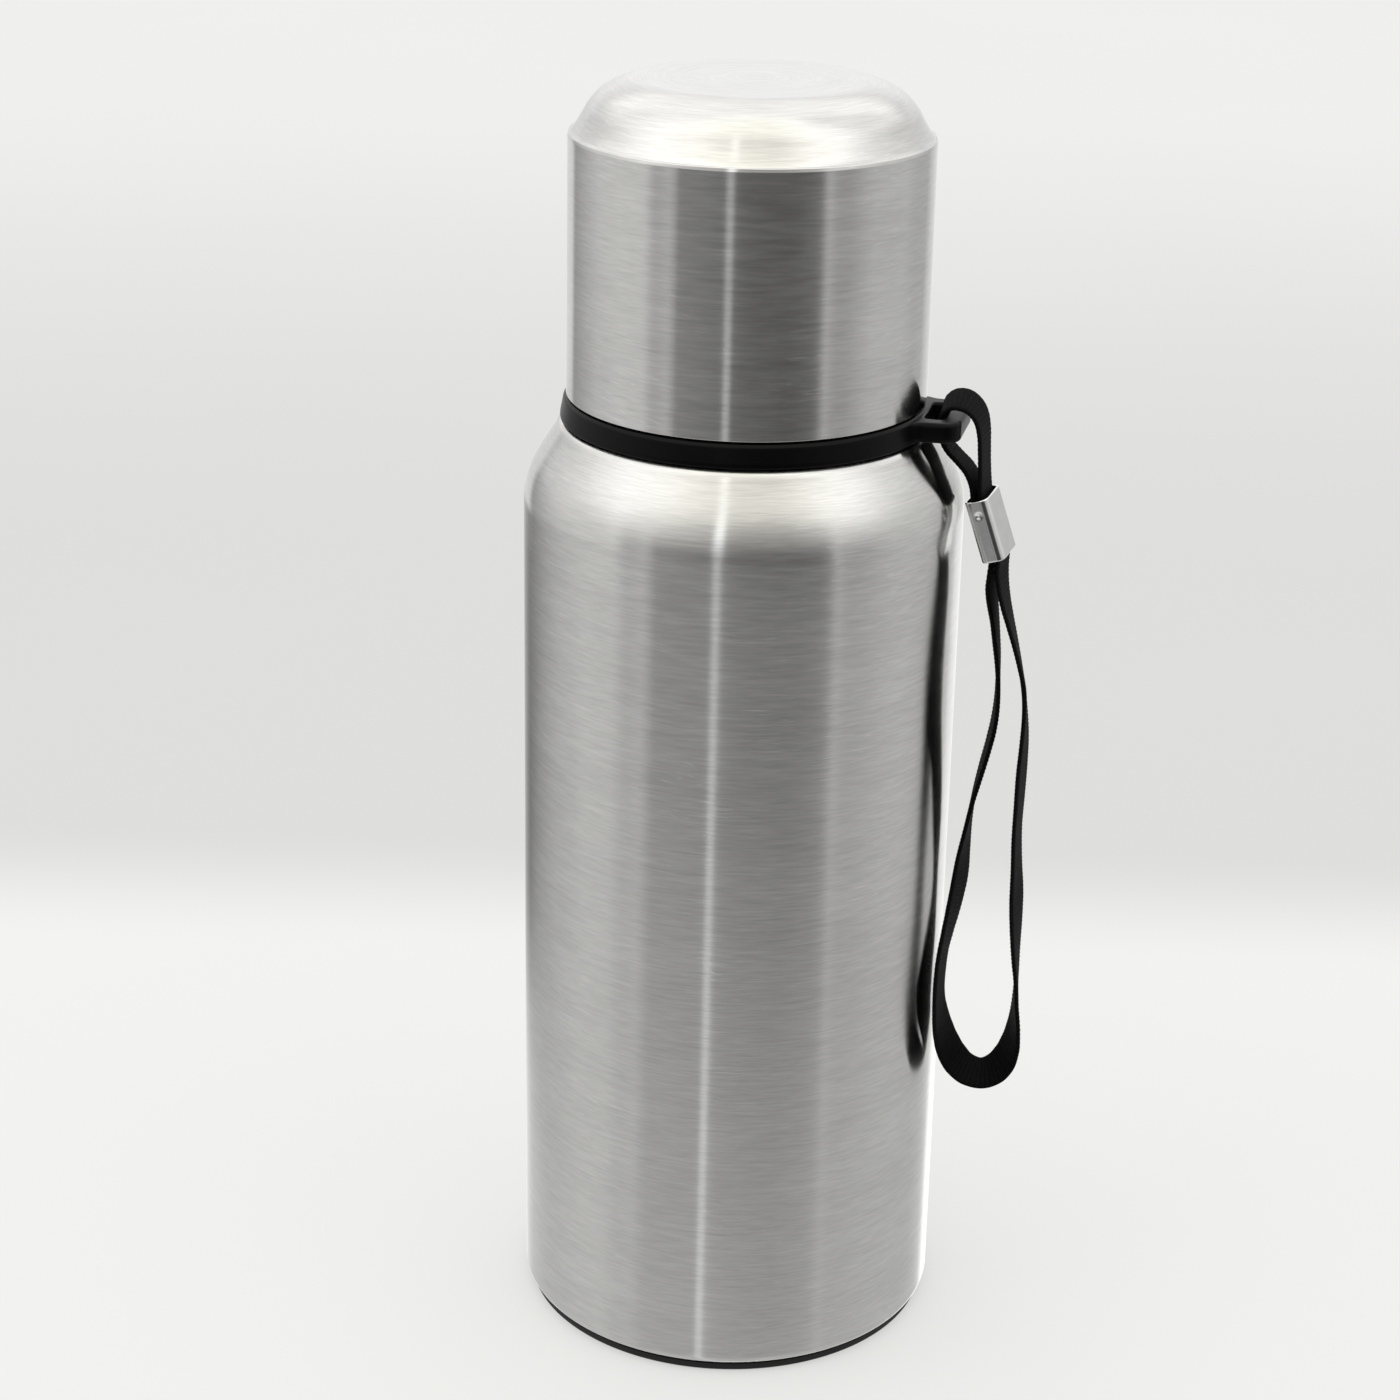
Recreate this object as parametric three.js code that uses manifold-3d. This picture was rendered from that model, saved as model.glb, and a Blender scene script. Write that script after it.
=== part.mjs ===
// Vacuum flask with a screw-on drinking cup, push-button stopper and wrist strap.
// Millimetres, +Z up, origin at the centre of the base on the surface it stands on.
// The strap lug points towards the azimuth LUG_AZ, measured from +X.
import * as THREE from "three";
import { mergeVertices } from "three/addons/utils/BufferGeometryUtils.js";
import Module from "manifold-3d";

const wasm = await Module();
wasm.setup();

// ---------------------------------------------------------------- driving dimensions
const SEG = 32;              // facets round every turned part
const R_BODY = 44;           // outer radius of the body
const WALL = 1.0;            // outer shell wall
const Z_SHOULDER = 177;      // where the shoulder starts to turn in
const Z_SHELF = 193.4;       // top of the shoulder, where the collar sits
const R_NECK = 30;           // outer radius of the steel neck
const Z_NECK = 217;          // top of the outer shell's neck
const R_LINER = 40.5;        // outer radius of the inner vessel
const R_MOUTH = 26.5;        // bore of the mouth
const R_CUP = 35.65;         // outer radius of the cup at its open edge
const R_CUP_LIP = 35.5;      // outer radius of the cup at its lip
const Z_CUP = 198.7;         // open edge of the cup
const Z_LIP = 249.9;         // lip where the cup's dome starts
const Z_TOP = 260.4;         // flat top of the dome
const COLLAR_Z0 = 193.75;    // collar, bottom and top
const COLLAR_Z1 = 198.35;
const LUG_AZ = -12 * Math.PI / 180;   // azimuth of the strap lug
const LUG_OUT = 43.9;        // how far the lug reaches from the axis
const LUG_HALF = 9.2;        // half width of the lug
const BAR_RHO = 42.1;        // the lug's outer bar: distance from the axis
const BAR_HALF = 1.75;       // half thickness of that bar
const SLOT_IN = 36.5;        // inner side of the lug's slot
const SLOT_HALF = 6.0;       // half length of the slot
const LUG_Z0 = 194.0, LUG_Z1 = 198.0;
const WEB_W = 8.4;           // strap webbing, width and thickness
const WEB_T = 1.1;
const FER_LEN = 12.8, FER_W = 10.4, FER_T = 5.0, FER_WALL = 0.5;
const THREAD_PITCH = 4.5;

// ---------------------------------------------------------------- materials
const mat = (color, roughness, metalness) =>
  new THREE.MeshStandardMaterial({ color, roughness, metalness });
const steel = () => mat(0xb9bab8, 0.34, 1.0);
const steelIn = () => mat(0xc6c7c6, 0.45, 1.0);
const blackPlastic = () => mat(0x101010, 0.45, 0.0);
const whitePlastic = () => mat(0xdddcd6, 0.5, 0.0);
const silicone = () => mat(0xcfd2d0, 0.6, 0.0);
const webbing = () => mat(0x0a0a0a, 0.9, 0.0);

// ---------------------------------------------------------------- helpers
function volume(g) {
  const p = g.attributes.position, ix = g.index;
  const n = ix ? ix.count : p.count;
  const at = (k) => { const i = ix ? ix.getX(k) : k; return [p.getX(i), p.getY(i), p.getZ(i)]; };
  let v = 0;
  for (let k = 0; k < n; k += 3) {
    const a = at(k), b = at(k + 1), c = at(k + 2);
    v += a[0] * (b[1] * c[2] - b[2] * c[1]) - a[1] * (b[0] * c[2] - b[2] * c[0]) + a[2] * (b[0] * c[1] - b[1] * c[0]);
  }
  return v / 6;
}

// one closed, merged, outward-facing position-only geometry
function clean(g) {
  const q = g.clone();
  for (const name of Object.keys(q.attributes)) if (name !== "position") q.deleteAttribute(name);
  q.clearGroups();
  const m = mergeVertices(q, 1e-4);
  const ix = m.index.array, keep = [];
  for (let k = 0; k < ix.length; k += 3) {
    const a = ix[k], b = ix[k + 1], c = ix[k + 2];
    if (a !== b && b !== c && c !== a) keep.push(a, b, c);
  }
  m.setIndex(keep);
  if (volume(m) < 0) {
    for (let k = 0; k < keep.length; k += 3) { const t = keep[k + 1]; keep[k + 1] = keep[k + 2]; keep[k + 2] = t; }
    m.setIndex(keep);
  }
  return m;
}

function solid(g) {
  const m = clean(g);
  return new wasm.Manifold(new wasm.Mesh({
    numProp: 3,
    vertProperties: new Float32Array(m.attributes.position.array),
    triVerts: new Uint32Array(m.index.array),
  }));
}

function geometry(man) {
  const m = man.getMesh();
  const g = new THREE.BufferGeometry();
  g.setAttribute("position", new THREE.BufferAttribute(new Float32Array(m.vertProperties), 3));
  g.setIndex(Array.from(m.triVerts));
  return g;
}

// turned part: profile of [radius, height], from axis to axis or closed on itself
function lathe(profile, seg = SEG) {
  const pts = profile.map(([r, z]) => new THREE.Vector2(r, z));
  const onAxis = profile[0][0] === 0 && profile[profile.length - 1][0] === 0;
  if (!onAxis) pts.push(pts[0].clone());
  const g = new THREE.LatheGeometry(pts, seg);
  g.rotateX(Math.PI / 2);
  return clean(g);
}

// a long thin box bent along a route: place(t) returns centre, width vector and thickness vector
function bent(w, h, steps, place) {
  const g = new THREE.BoxGeometry(w, h, 1, 1, 1, steps);
  const p = g.attributes.position;
  for (let i = 0; i < p.count; i++) {
    const t = p.getZ(i) + 0.5;
    const { c, W, N, kw = 1, kh = 1 } = place(t);
    const a = p.getX(i) * kw, b = p.getY(i) * kh;
    p.setXYZ(i, c.x + W.x * a + N.x * b, c.y + W.y * a + N.y * b, c.z + W.z * a + N.z * b);
  }
  return g;
}

// helical thread ridge on a wall of radius rWall, crest at rCrest (outside or inside the wall)
function thread(rWall, rCrest, z0, turns, phase = 0) {
  const dir = Math.sign(rCrest - rWall);
  const root = rWall - dir * 0.5;
  const depth = Math.abs(rCrest - root);
  const steps = Math.round(turns * 32);
  return bent(depth, 1.9, steps, (t) => {
    const a = phase + t * turns * 2 * Math.PI;
    const k = Math.max(0.12, Math.min(1, t * steps / 6, (1 - t) * steps / 6));
    const z = z0 + t * turns * THREAD_PITCH;
    const rm = root + dir * depth * k / 2;
    return {
      c: new THREE.Vector3(rm * Math.cos(a), rm * Math.sin(a), z),
      W: new THREE.Vector3(dir * Math.cos(a), dir * Math.sin(a), 0),
      N: new THREE.Vector3(0, 0, 1), kw: k,
    };
  });
}

const group = new THREE.Group();
const add = (name, geo, material) => {
  const m = new THREE.Mesh(geo, material);
  m.name = name;
  group.add(m);
  return m;
};

// ================================================================ flask body
// outer shell: rolled-in foot, straight wall, rounded shoulder, shelf and neck
const shellProfile = [
  [42.4, 2.1], [43.15, 2.3], [43.75, 2.9], [R_BODY, 3.9],
  [R_BODY, Z_SHOULDER], [43.78, 179.5], [43.21, 181.9], [42.3, 184.2], [41.0, 186.6],
  [39.45, 189.1], [38.0, 191.4], [37.2, 192.7], [36.6, 193.2], [35.8, Z_SHELF],
  [R_NECK, Z_SHELF], [R_NECK, Z_NECK],
  [R_NECK - WALL, Z_NECK], [R_NECK - WALL, Z_SHELF - WALL], [35.5, Z_SHELF - WALL], [36.3, 191.9],
  [37.9, 189.3], [39.9, 186.2], [41.3, 183.6], [42.5, 180.6], [R_BODY - WALL, Z_SHOULDER],
  [R_BODY - WALL, 4.0], [42.8, 3.3], [42.4, 3.1],
];
add("outer_shell",
  geometry(solid(lathe(shellProfile)).add(solid(thread(R_NECK, 31.6, 203.2, 1.3)))), steel());

// disc that closes the vacuum jacket, dished up in the middle
add("base_plate", lathe([
  [0, 4.4], [11.4, 4.4], [13.4, 3.5], [42.25, 3.5], [42.25, 4.3], [14, 4.3], [12, 5.2], [0, 5.2],
]), steelIn());

// bead that seals the evacuation hole, in the dish
add("vacuum_seal", lathe([[0, 1.9], [2.8, 2.1], [4, 2.9], [4, 4.05], [0, 4.05]], 16), steelIn());

// foot ring set in under the rolled edge
add("foot_ring", lathe([
  [35, 0], [42.3, 0], [42.7, 0.4], [42.7, 1.6], [42.05, 1.8], [42.05, 3.15], [35, 3.15],
]), mat(0x0c0c0c, 0.8, 0.0));

// inner vessel, up to the weld under its mouth
add("inner_liner", lathe([
  [0, 8.0], [20, 7.3], [34, 7.7], [38.6, 9.8], [40.3, 13], [R_LINER, 17],
  [R_LINER, 172.5], [39.6, 177], [37.2, 181.8], [33.6, 186], [29.4, 188.6],
  [27.0, 190.2], [26.6, 191.58],
  [25.6, 191.58], [26.2, 189.8],
  [29.0, 187.9], [33.0, 185.4], [36.5, 181.3], [38.8, 176.7], [39.7, 172.3],
  [39.7, 17.2], [39.5, 13.4], [38.0, 10.6], [33.8, 8.6], [20, 8.1], [0, 8.8],
]), steelIn());

// threaded mouth ring, welded to the vessel, with its rim turned out over the top of the neck
add("mouth_ring",
  geometry(solid(lathe([
    [26.6, 191.62], [26.6, 199], [27.4, 200], [27.4, 217.3],
    [30.0, 217.3], [30.4, 217.8], [30.0, 218.6], [27.3, 218.9], [R_MOUTH, 218.2],
    [R_MOUTH, 200.5], [25.6, 199.8], [25.6, 191.62],
  ])).add(solid(thread(R_MOUTH, 25.9, 203.2, 1.3, Math.PI)))), steelIn());

// foil round the vessel, inside the vacuum
add("radiation_foil", lathe([[41.0, 14], [41.35, 14], [41.35, 170], [41.0, 170]]), mat(0xb87a4b, 0.35, 1.0));

// getter pellet under the vessel
add("getter", lathe([[0, 5.55], [5, 5.55], [5, 7.4], [0, 7.4]], 16), mat(0x777777, 0.8, 0.6));

// ================================================================ collar with the strap lug
{
  const ring = solid(lathe([
    [30.5, COLLAR_Z0], [36.8, COLLAR_Z0], [36.75, 194.7], [36.15, 197.8], [35.6, COLLAR_Z1], [30.5, COLLAR_Z1],
  ]));
  const s = new THREE.Shape();
  const o = LUG_OUT - 0.9, h = LUG_HALF - 0.9, rc = 2.8;
  s.moveTo(33.4, -h - 1.6);
  s.lineTo(36.2, -h - 0.3);
  s.lineTo(o - rc, -h);
  s.absarc(o - rc, -h + rc, rc, -Math.PI / 2, 0, false);
  s.absarc(o - rc, h - rc, rc, 0, Math.PI / 2, false);
  s.lineTo(36.2, h + 0.3);
  s.lineTo(33.4, h + 1.6);
  s.closePath();
  const lug = new THREE.ExtrudeGeometry(s, {
    depth: LUG_Z1 - LUG_Z0 - 1.8, bevelEnabled: true, bevelSize: 0.9, bevelThickness: 0.9,
    bevelSegments: 2, curveSegments: 4,
  });
  lug.translate(0, 0, LUG_Z0 + 0.9);
  lug.rotateZ(LUG_AZ);
  // the slot, its edges eased like the outside of the bar
  const q = new THREE.Shape();
  const a = SLOT_IN, b = BAR_RHO - BAR_HALF, f = SLOT_HALF, rr = 1.4;
  q.moveTo(a, -f + 0.3);
  q.lineTo(b - rr, -f);
  q.absarc(b - rr, -f + rr, rr, -Math.PI / 2, 0, false);
  q.absarc(b - rr, f - rr, rr, 0, Math.PI / 2, false);
  q.lineTo(a, f - 0.3);
  q.closePath();
  const slot = new THREE.ExtrudeGeometry(q, { depth: 12, bevelEnabled: false, curveSegments: 4 });
  slot.translate(0, 0, 190);
  slot.rotateZ(LUG_AZ);
  // two wedges ease the bar's inner edges, top and bottom
  const ease = (zEdge, up) => {
    const w = new THREE.Shape();
    w.moveTo(b - 0.4, zEdge + up * 0.4);
    w.lineTo(b + 0.9, zEdge + up * 0.4);
    w.lineTo(b + 0.9, zEdge);
    w.lineTo(b, zEdge - up * 0.9);
    w.lineTo(b - 0.4, zEdge - up * 0.9);
    w.closePath();
    const e = new THREE.ExtrudeGeometry(w, { depth: 2 * f - 2 * rr, bevelEnabled: false });
    // shape x -> radial, shape y -> z, depth -> tangential
    e.rotateX(Math.PI / 2);
    e.translate(0, f - rr, 0);
    e.rotateZ(LUG_AZ);
    return solid(e);
  };
  // room for the shoulder and the neck under and inside the lug
  const keepOut = solid(lathe([
    [0, 180], [44, 180], [42.9, 183.7], [41.7, 186.3], [40.1, 189], [38.4, 191.7], [37.5, 193.2], [37.0, 193.7], [0, 193.7],
  ]));
  const bore = solid(lathe([[0, 190], [30.5, 190], [30.5, 202], [0, 202]]));
  const man = ring.add(solid(lug)).subtract(bore).subtract(keepOut).subtract(solid(slot))
    .subtract(ease(LUG_Z1, 1)).subtract(ease(LUG_Z0, -1));
  add("strap_collar", geometry(man), blackPlastic());
}

// ================================================================ cup
add("cup_shell", lathe([
  [R_CUP, Z_CUP], [R_CUP_LIP, 249.2], [35.3, Z_LIP], [34.5, 250.1], [34.06, 250.5],
  [33.25, 252.8], [32.2, 254.75], [31.0, 256.25], [29.3, 257.75], [27.2, 259.0], [25.0, 259.9], [23.2, 260.3],
  [21.7, Z_TOP], [0, Z_TOP],
  [0, 259.7], [21.6, 259.7], [24.2, 259.3], [26.7, 258.4], [28.9, 257.1], [31.3, 254.6], [32.9, 251.2],
  [33.2, 250.2], [34.1, 249.3], [34.75, 248.5], [34.85, Z_CUP],
]), steel());

// plastic liner, and the threaded ring set in under it
add("cup_liner", lathe([
  [34.4, 221.82], [34.38, 247.8], [33.6, 248.9], [32.7, 249.9], [30.9, 254.2], [28.5, 256.7], [26.3, 258.0],
  [23.9, 258.9], [0, 259.3],
  [0, 257.7], [23.4, 257.4], [25.5, 256.6], [27.7, 255.0], [29.7, 252.4], [31.3, 249.0], [32.0, 246.5],
  [32.0, 221.82],
]), whitePlastic());

add("cup_thread_ring", geometry(solid(lathe([
  [34.45, 199.3], [34.4, 221.78], [32.9, 221.78], [32.9, 199.3],
])).add(solid(thread(32.9, 31.98, 203.2, 1.3, Math.PI)))), whitePlastic());

add("cup_gasket", lathe([[31.0, 219.9], [32.55, 219.9], [32.55, 221.45], [31.0, 221.45]]), silicone());

// ================================================================ stopper
add("stopper_body", geometry(solid(lathe([
  [8, 190], [24.0, 190], [24.6, 190.8], [24.6, 194.0], [23.6, 194.0], [23.6, 197.0], [24.6, 197.0],
  [24.6, 220.7], [29.3, 220.7], [29.6, 221.1], [29.6, 223.2], [29.3, 223.5], [17, 223.5], [17, 193], [8, 193],
])).add(solid(thread(24.6, 25.5, 203.2, 1.3)))), blackPlastic());

add("rim_gasket", lathe([[26.9, 219.2], [29.2, 219.2], [29.2, 220.4], [26.9, 220.4]]), silicone());
add("plug_gasket", lathe([[23.9, 194.3], [25.3, 195.0], [25.3, 196.0], [23.9, 196.7]]), silicone());

// spider that guides the stem and carries the spring, with holes for the drink
{
  let man = solid(lathe([[2.9, 207.5], [16.65, 207.5], [16.65, 209.5], [2.9, 209.5]]));
  for (let k = 0; k < 6; k++) {
    const c = new THREE.CylinderGeometry(3, 3, 6, 10);
    c.rotateX(Math.PI / 2);
    const a = (k + 0.5) * Math.PI / 3;
    c.translate(11.6 * Math.cos(a), 11.6 * Math.sin(a), 208.5);
    man = man.subtract(solid(c));
  }
  add("valve_guide", geometry(man), whitePlastic());
}

// cover over the flange, with the button's hole and a pouring gap on one side
{
  const cover = solid(lathe([
    [26.3, 223.8], [28.9, 223.8], [29.2, 225.2], [28.9, 233.2], [27.6, 235.3], [25.6, 236.0],
    [14.2, 236.2], [13.3, 235.4], [13.3, 231.8], [26.3, 231.8],
  ]));
  const gap = new THREE.BoxGeometry(12, 13, 5.2);
  gap.translate(28, 0, 226.6);
  add("stopper_cover", geometry(cover.subtract(solid(gap))), blackPlastic());
}

add("push_button", lathe([
  [11.0, 226.4], [12.7, 226.4], [12.7, 229.9], [14.6, 229.9], [14.6, 231.4], [12.8, 231.4],
  [12.8, 237.4], [11.8, 238.5], [0, 238.9], [0, 236.6], [11.0, 236.2],
]), mat(0x8c8f90, 0.45, 0.0));

add("valve_stem", lathe([[0, 188.0], [2.4, 188.0], [2.4, 236.0], [0, 236.0]], 16), whitePlastic());
add("valve_plate", lathe([[0, 185.0], [9.6, 185.0], [10.8, 186.2], [10.8, 187.7], [0, 187.7]], 24), whitePlastic());
add("valve_seal", lathe([[2.8, 188.05], [11.6, 188.05], [11.6, 189.0], [11.0, 189.65], [2.8, 189.65]], 24), silicone());

// compression spring between the spider and the button
{
  const turns = 6, z0 = 210.4, z1 = 235.4, r = 6.4, wire = 0.55;
  class Helix extends THREE.Curve {
    getPoint(t, target = new THREE.Vector3()) {
      const a = t * turns * 2 * Math.PI;
      return target.set(r * Math.cos(a), r * Math.sin(a), z0 + (z1 - z0) * t);
    }
  }
  const s = new THREE.Shape();
  for (let k = 0; k < 6; k++) {
    const a = k * Math.PI / 3;
    if (k === 0) s.moveTo(wire * Math.cos(a), wire * Math.sin(a));
    else s.lineTo(wire * Math.cos(a), wire * Math.sin(a));
  }
  s.closePath();
  add("button_spring", clean(new THREE.ExtrudeGeometry(s, { steps: turns * 12, extrudePath: new Helix(), bevelEnabled: false })), steelIn());
}

// ================================================================ strap
// Routes are given in the lug's own frame: rho away from the axis, t across, z up.
const U = new THREE.Vector3(Math.cos(LUG_AZ), Math.sin(LUG_AZ), 0);
const V = new THREE.Vector3(-Math.sin(LUG_AZ), Math.cos(LUG_AZ), 0);
const at = ([rho, t, z]) => new THREE.Vector3().addScaledVector(U, rho).addScaledVector(V, t).setZ(z);

// [rho, t, z, twist in degrees of the webbing about its own length, from the lug's tangent]
const LUG_LOOP = [
  [48.43, 0, 177.41, -8], [46.99, 0, 181.66, -8], [46.3, 0, 184.3, -5], [45, 0, 186.8, -2], [43, 0, 188.9, 0],
  [41, 0, 190.9, 0], [39.7, 0, 193.1, 0], [39.2, 0, 195.5, 0], [39.3, 0, 197.8, 0], [40.1, 0, 199.6, 0],
  [41.7, 0, 200.6, 0], [43.6, 0, 200.5, 0], [45.6, 0, 199.3, 0], [46.9, 0, 197.2, 0], [47.5, 0, 194.5, 0],
  [47.75, 0, 191, 0], [47.95, 0, 187.5, 3], [48.15, 0, 184.6, 6.5], [48.41, 0, 182.14, 8], [48.99, 0, 180.44, 8],
];
const HAND_LOOP = [
  [49.65, 0, 173.81, 8], [51.09, 0, 169.56, 8], [51, 0, 166.5, 8.8], [50.71, 0.4, 163.4, 7], [50.91, 0.9, 160, 3.4],
  [51.42, 1.3, 156.5, 0.2], [51.96, 1.6, 152, -2], [52.56, 1.6, 147, -5], [52.86, 1.6, 142, -8.6], [52.86, 1.6, 137.5, -9.9],
  [52.46, 1.6, 133, -10.2], [51.56, 1.6, 128, -9.1], [50.26, 1.6, 122, -7.5], [49.06, 1.6, 116, -3.8], [48.26, 1.6, 110, 1.5],
  [47.7, 1.4, 104, 9.9], [47.31, 0.9, 98, 15.4], [46.6, -0.8, 92.5, 14.2], [45.9, -3, 88, 10.2], [45.4, -5, 84, 6.8],
  [45.2, -6.3, 79, 5.6], [45.2, -6.4, 75, 5.1], [45.4, -5.6, 70.5, 8.2], [45.8, -3.4, 66, 14.2], [46.7, -1.4, 61.6, 21.9],
  [48.3, -0.3, 57.9, 26.2], [50.6, 0, 55.4, 24.3], [53.4, 0, 54.5, 23.3], [56.2, 0, 55.4, 30.2], [58.6, 0, 58, 35],
  [60.1, 0, 62.2, 30.1], [60.6, 0, 67, 20.5], [60.52, 0.4, 72, 11.5], [60.33, 0.8, 77, 6.3], [59.87, 1.1, 83, -0.7],
  [59.54, 1.2, 89.5, -7], [59.24, 1.2, 96, -9.3], [58.84, 1.2, 103, -4.7], [58.54, 1.2, 110, -3.3], [58.64, 1.2, 117, -4.2],
  [58.74, 1.2, 124, -5], [58.84, 1.2, 131, -1], [58.54, 1.2, 137.5, 6.4], [57.97, 1.1, 142.5, 10.7], [57.01, 0.9, 147, 8.6],
  [55.77, 0.6, 152, 5.6], [54.54, 0.3, 156.5, 1.8], [53.5, 0, 160.5, -2.3], [52.8, 0, 164, -5.7], [52.5, 0, 167, -8.4],
  [52.51, 0, 170.04, -8], [51.07, 0, 174.29, -8],
];

function ribbon(route, steps, sideSign) {
  const curve = new THREE.CatmullRomCurve3(route.map(at), false, "centripetal");
  const n = route.length - 1;
  return bent(WEB_W, WEB_T, steps, (t) => {
    const c = curve.getPoint(t), T = curve.getTangent(t).normalize();
    const x = t * n, i = Math.min(n - 1, Math.floor(x)), f = x - i;
    const s = f * f * (3 - 2 * f);
    const phi = (route[i][3] * (1 - s) + route[i + 1][3] * s) * Math.PI / 180;
    // in-plane normal, on the loop's inner side
    const N0 = new THREE.Vector3().crossVectors(T, V).multiplyScalar(sideSign).normalize();
    const V0 = new THREE.Vector3().crossVectors(N0, T).multiplyScalar(sideSign).normalize();
    const W = V0.clone().multiplyScalar(Math.cos(phi)).addScaledVector(N0, Math.sin(phi));
    const N = new THREE.Vector3().crossVectors(T, W).normalize();
    return { c, W, N };
  });
}
add("strap_lug_loop", clean(ribbon(LUG_LOOP, 38, 1)), webbing());
add("strap_hand_loop", clean(ribbon(HAND_LOOP, 78, 1)), webbing());

// crimped ferrule: a flattened tube round both loops' ends
{
  const outline = (w, t, rc, target) => {
    const x = w / 2 - rc, y = t / 2 - rc;
    target.moveTo(-x, -y - rc);
    target.lineTo(x, -y - rc);
    target.absarc(x, -y, rc, -Math.PI / 2, 0, false);
    target.absarc(x, y, rc, 0, Math.PI / 2, false);
    target.lineTo(-x, y + rc);
    target.absarc(-x, y, rc, Math.PI / 2, Math.PI, false);
    target.absarc(-x, -y, rc, Math.PI, 1.5 * Math.PI, false);
    return target;
  };
  const s = outline(FER_W, FER_T, 1.7, new THREE.Shape());
  s.holes.push(outline(FER_W - 2 * FER_WALL, FER_T - 2 * FER_WALL, 1.2, new THREE.Path()));
  const g = new THREE.ExtrudeGeometry(s, { depth: FER_LEN, bevelEnabled: false, curveSegments: 4 });
  const top = at([47.7, 0, 181.9]), bottom = at([51.8, 0, 169.8]);
  const axis = new THREE.Vector3().subVectors(top, bottom).normalize();
  const side = new THREE.Vector3().crossVectors(V, axis).normalize();
  const a = 8 * Math.PI / 180;
  const wide = V.clone().multiplyScalar(Math.cos(a)).addScaledVector(side, Math.sin(a));
  const thin = new THREE.Vector3().crossVectors(axis, wide);
  g.applyMatrix4(new THREE.Matrix4().makeBasis(wide, thin, axis).setPosition(bottom));
  add("strap_ferrule", clean(g), mat(0xd8dadb, 0.12, 1.0));
}

export default group;
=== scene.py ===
# Stainless vacuum flask with a screw-on cup, push-button stopper and a webbing wrist strap.
# Lengths in the helpers below are millimetres; meshes are made in metres, in the row frame.
import math

import bpy
import bmesh
import numpy as np
from mathutils import Matrix, Vector


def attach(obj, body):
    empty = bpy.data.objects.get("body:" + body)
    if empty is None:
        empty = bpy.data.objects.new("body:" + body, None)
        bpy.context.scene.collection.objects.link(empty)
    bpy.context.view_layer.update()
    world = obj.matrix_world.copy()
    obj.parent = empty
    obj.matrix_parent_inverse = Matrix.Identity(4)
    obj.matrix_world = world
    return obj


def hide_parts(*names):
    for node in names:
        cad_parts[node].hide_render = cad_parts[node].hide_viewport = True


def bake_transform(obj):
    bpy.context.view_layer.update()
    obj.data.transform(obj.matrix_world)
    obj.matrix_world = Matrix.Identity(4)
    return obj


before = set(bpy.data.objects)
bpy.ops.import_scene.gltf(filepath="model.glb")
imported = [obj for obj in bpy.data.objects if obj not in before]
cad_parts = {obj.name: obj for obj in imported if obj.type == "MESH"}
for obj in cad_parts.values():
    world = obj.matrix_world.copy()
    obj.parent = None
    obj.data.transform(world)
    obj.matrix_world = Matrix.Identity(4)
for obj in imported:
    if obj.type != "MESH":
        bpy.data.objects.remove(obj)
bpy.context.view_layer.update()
scene = bpy.context.scene
MM = 0.001
TAU = 2 * math.pi

# ------------------------------------------------------------------ camera
cam_data = bpy.data.cameras.new("camera")
cam = bpy.data.objects.new("camera", cam_data)
scene.collection.objects.link(cam)
RIGHT = Vector((0.99962065, 0.0210097, 0.01780879))
UP = Vector((-0.02422168, 0.36282515, 0.93154239))
FWD = Vector((-0.01310995, 0.93162036, -0.3631964))
m = Matrix((RIGHT, UP, -FWD)).transposed().to_4x4()
m.translation = Vector((0.0, -0.56923, 0.35510))
cam.matrix_world = m
cam_data.sensor_width = 36.0
cam_data.lens = 76.42
cam_data.clip_start, cam_data.clip_end = 0.01, 60.0
scene.camera = cam
scene.view_settings.view_transform = "Standard"


# ------------------------------------------------------------------ node helpers
def node(nt, kind, inputs=None, **props):
    n = nt.nodes.new(kind)
    for k, v in props.items():
        setattr(n, k, v)
    for k, v in (inputs or {}).items():
        if isinstance(v, bpy.types.NodeSocket):
            nt.links.new(v, n.inputs[k])
        else:
            n.inputs[k].default_value = v
    return n


def math_(nt, op, a, b=0.0, c=None, clamp=False):
    inputs = {0: a, 1: b}
    if c is not None:
        inputs[2] = c
    return node(nt, "ShaderNodeMath", inputs, operation=op, use_clamp=clamp).outputs[0]


def ramp(nt, fac, stops, mode="LINEAR"):
    n = node(nt, "ShaderNodeValToRGB", {0: fac})
    n.color_ramp.interpolation = mode
    el = n.color_ramp.elements
    while len(el) > 1:
        el.remove(el[-1])
    for i, (pos, col) in enumerate(stops):
        if not hasattr(col, "__len__"):
            col = (col, col, col)
        e = el[0] if i == 0 else el.new(pos)
        e.position = pos
        e.color = (*col, 1.0)
    return n.outputs[0]


def map_range(nt, v, a, b, c=0.0, d=1.0, kind="LINEAR"):
    n = node(nt, "ShaderNodeMapRange", {0: v, 1: a, 2: b, 3: c, 4: d}, interpolation_type=kind)
    return n.outputs[0]


def mix_rgb(nt, fac, a, b, blend="MIX"):
    n = nt.nodes.new("ShaderNodeMix")
    n.data_type = "RGBA"
    n.blend_type = blend
    for sock, v in (("Factor_Float", fac), ("A_Color", a), ("B_Color", b)):
        s = next(i for i in n.inputs if i.identifier == sock)
        if isinstance(v, bpy.types.NodeSocket):
            nt.links.new(v, s)
        else:
            s.default_value = v if sock == "Factor_Float" else (*v, 1.0)
    return next(o for o in n.outputs if o.identifier == "Result_Color")


def noise(nt, vec, scale, detail=2.0, rough=0.5, dims="3D", distortion=0.0):
    n = node(nt, "ShaderNodeTexNoise", {"Vector": vec, "Scale": scale, "Detail": detail, "Roughness": rough, "Distortion": distortion}, noise_dimensions=dims)
    return n.outputs["Fac"]


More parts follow.
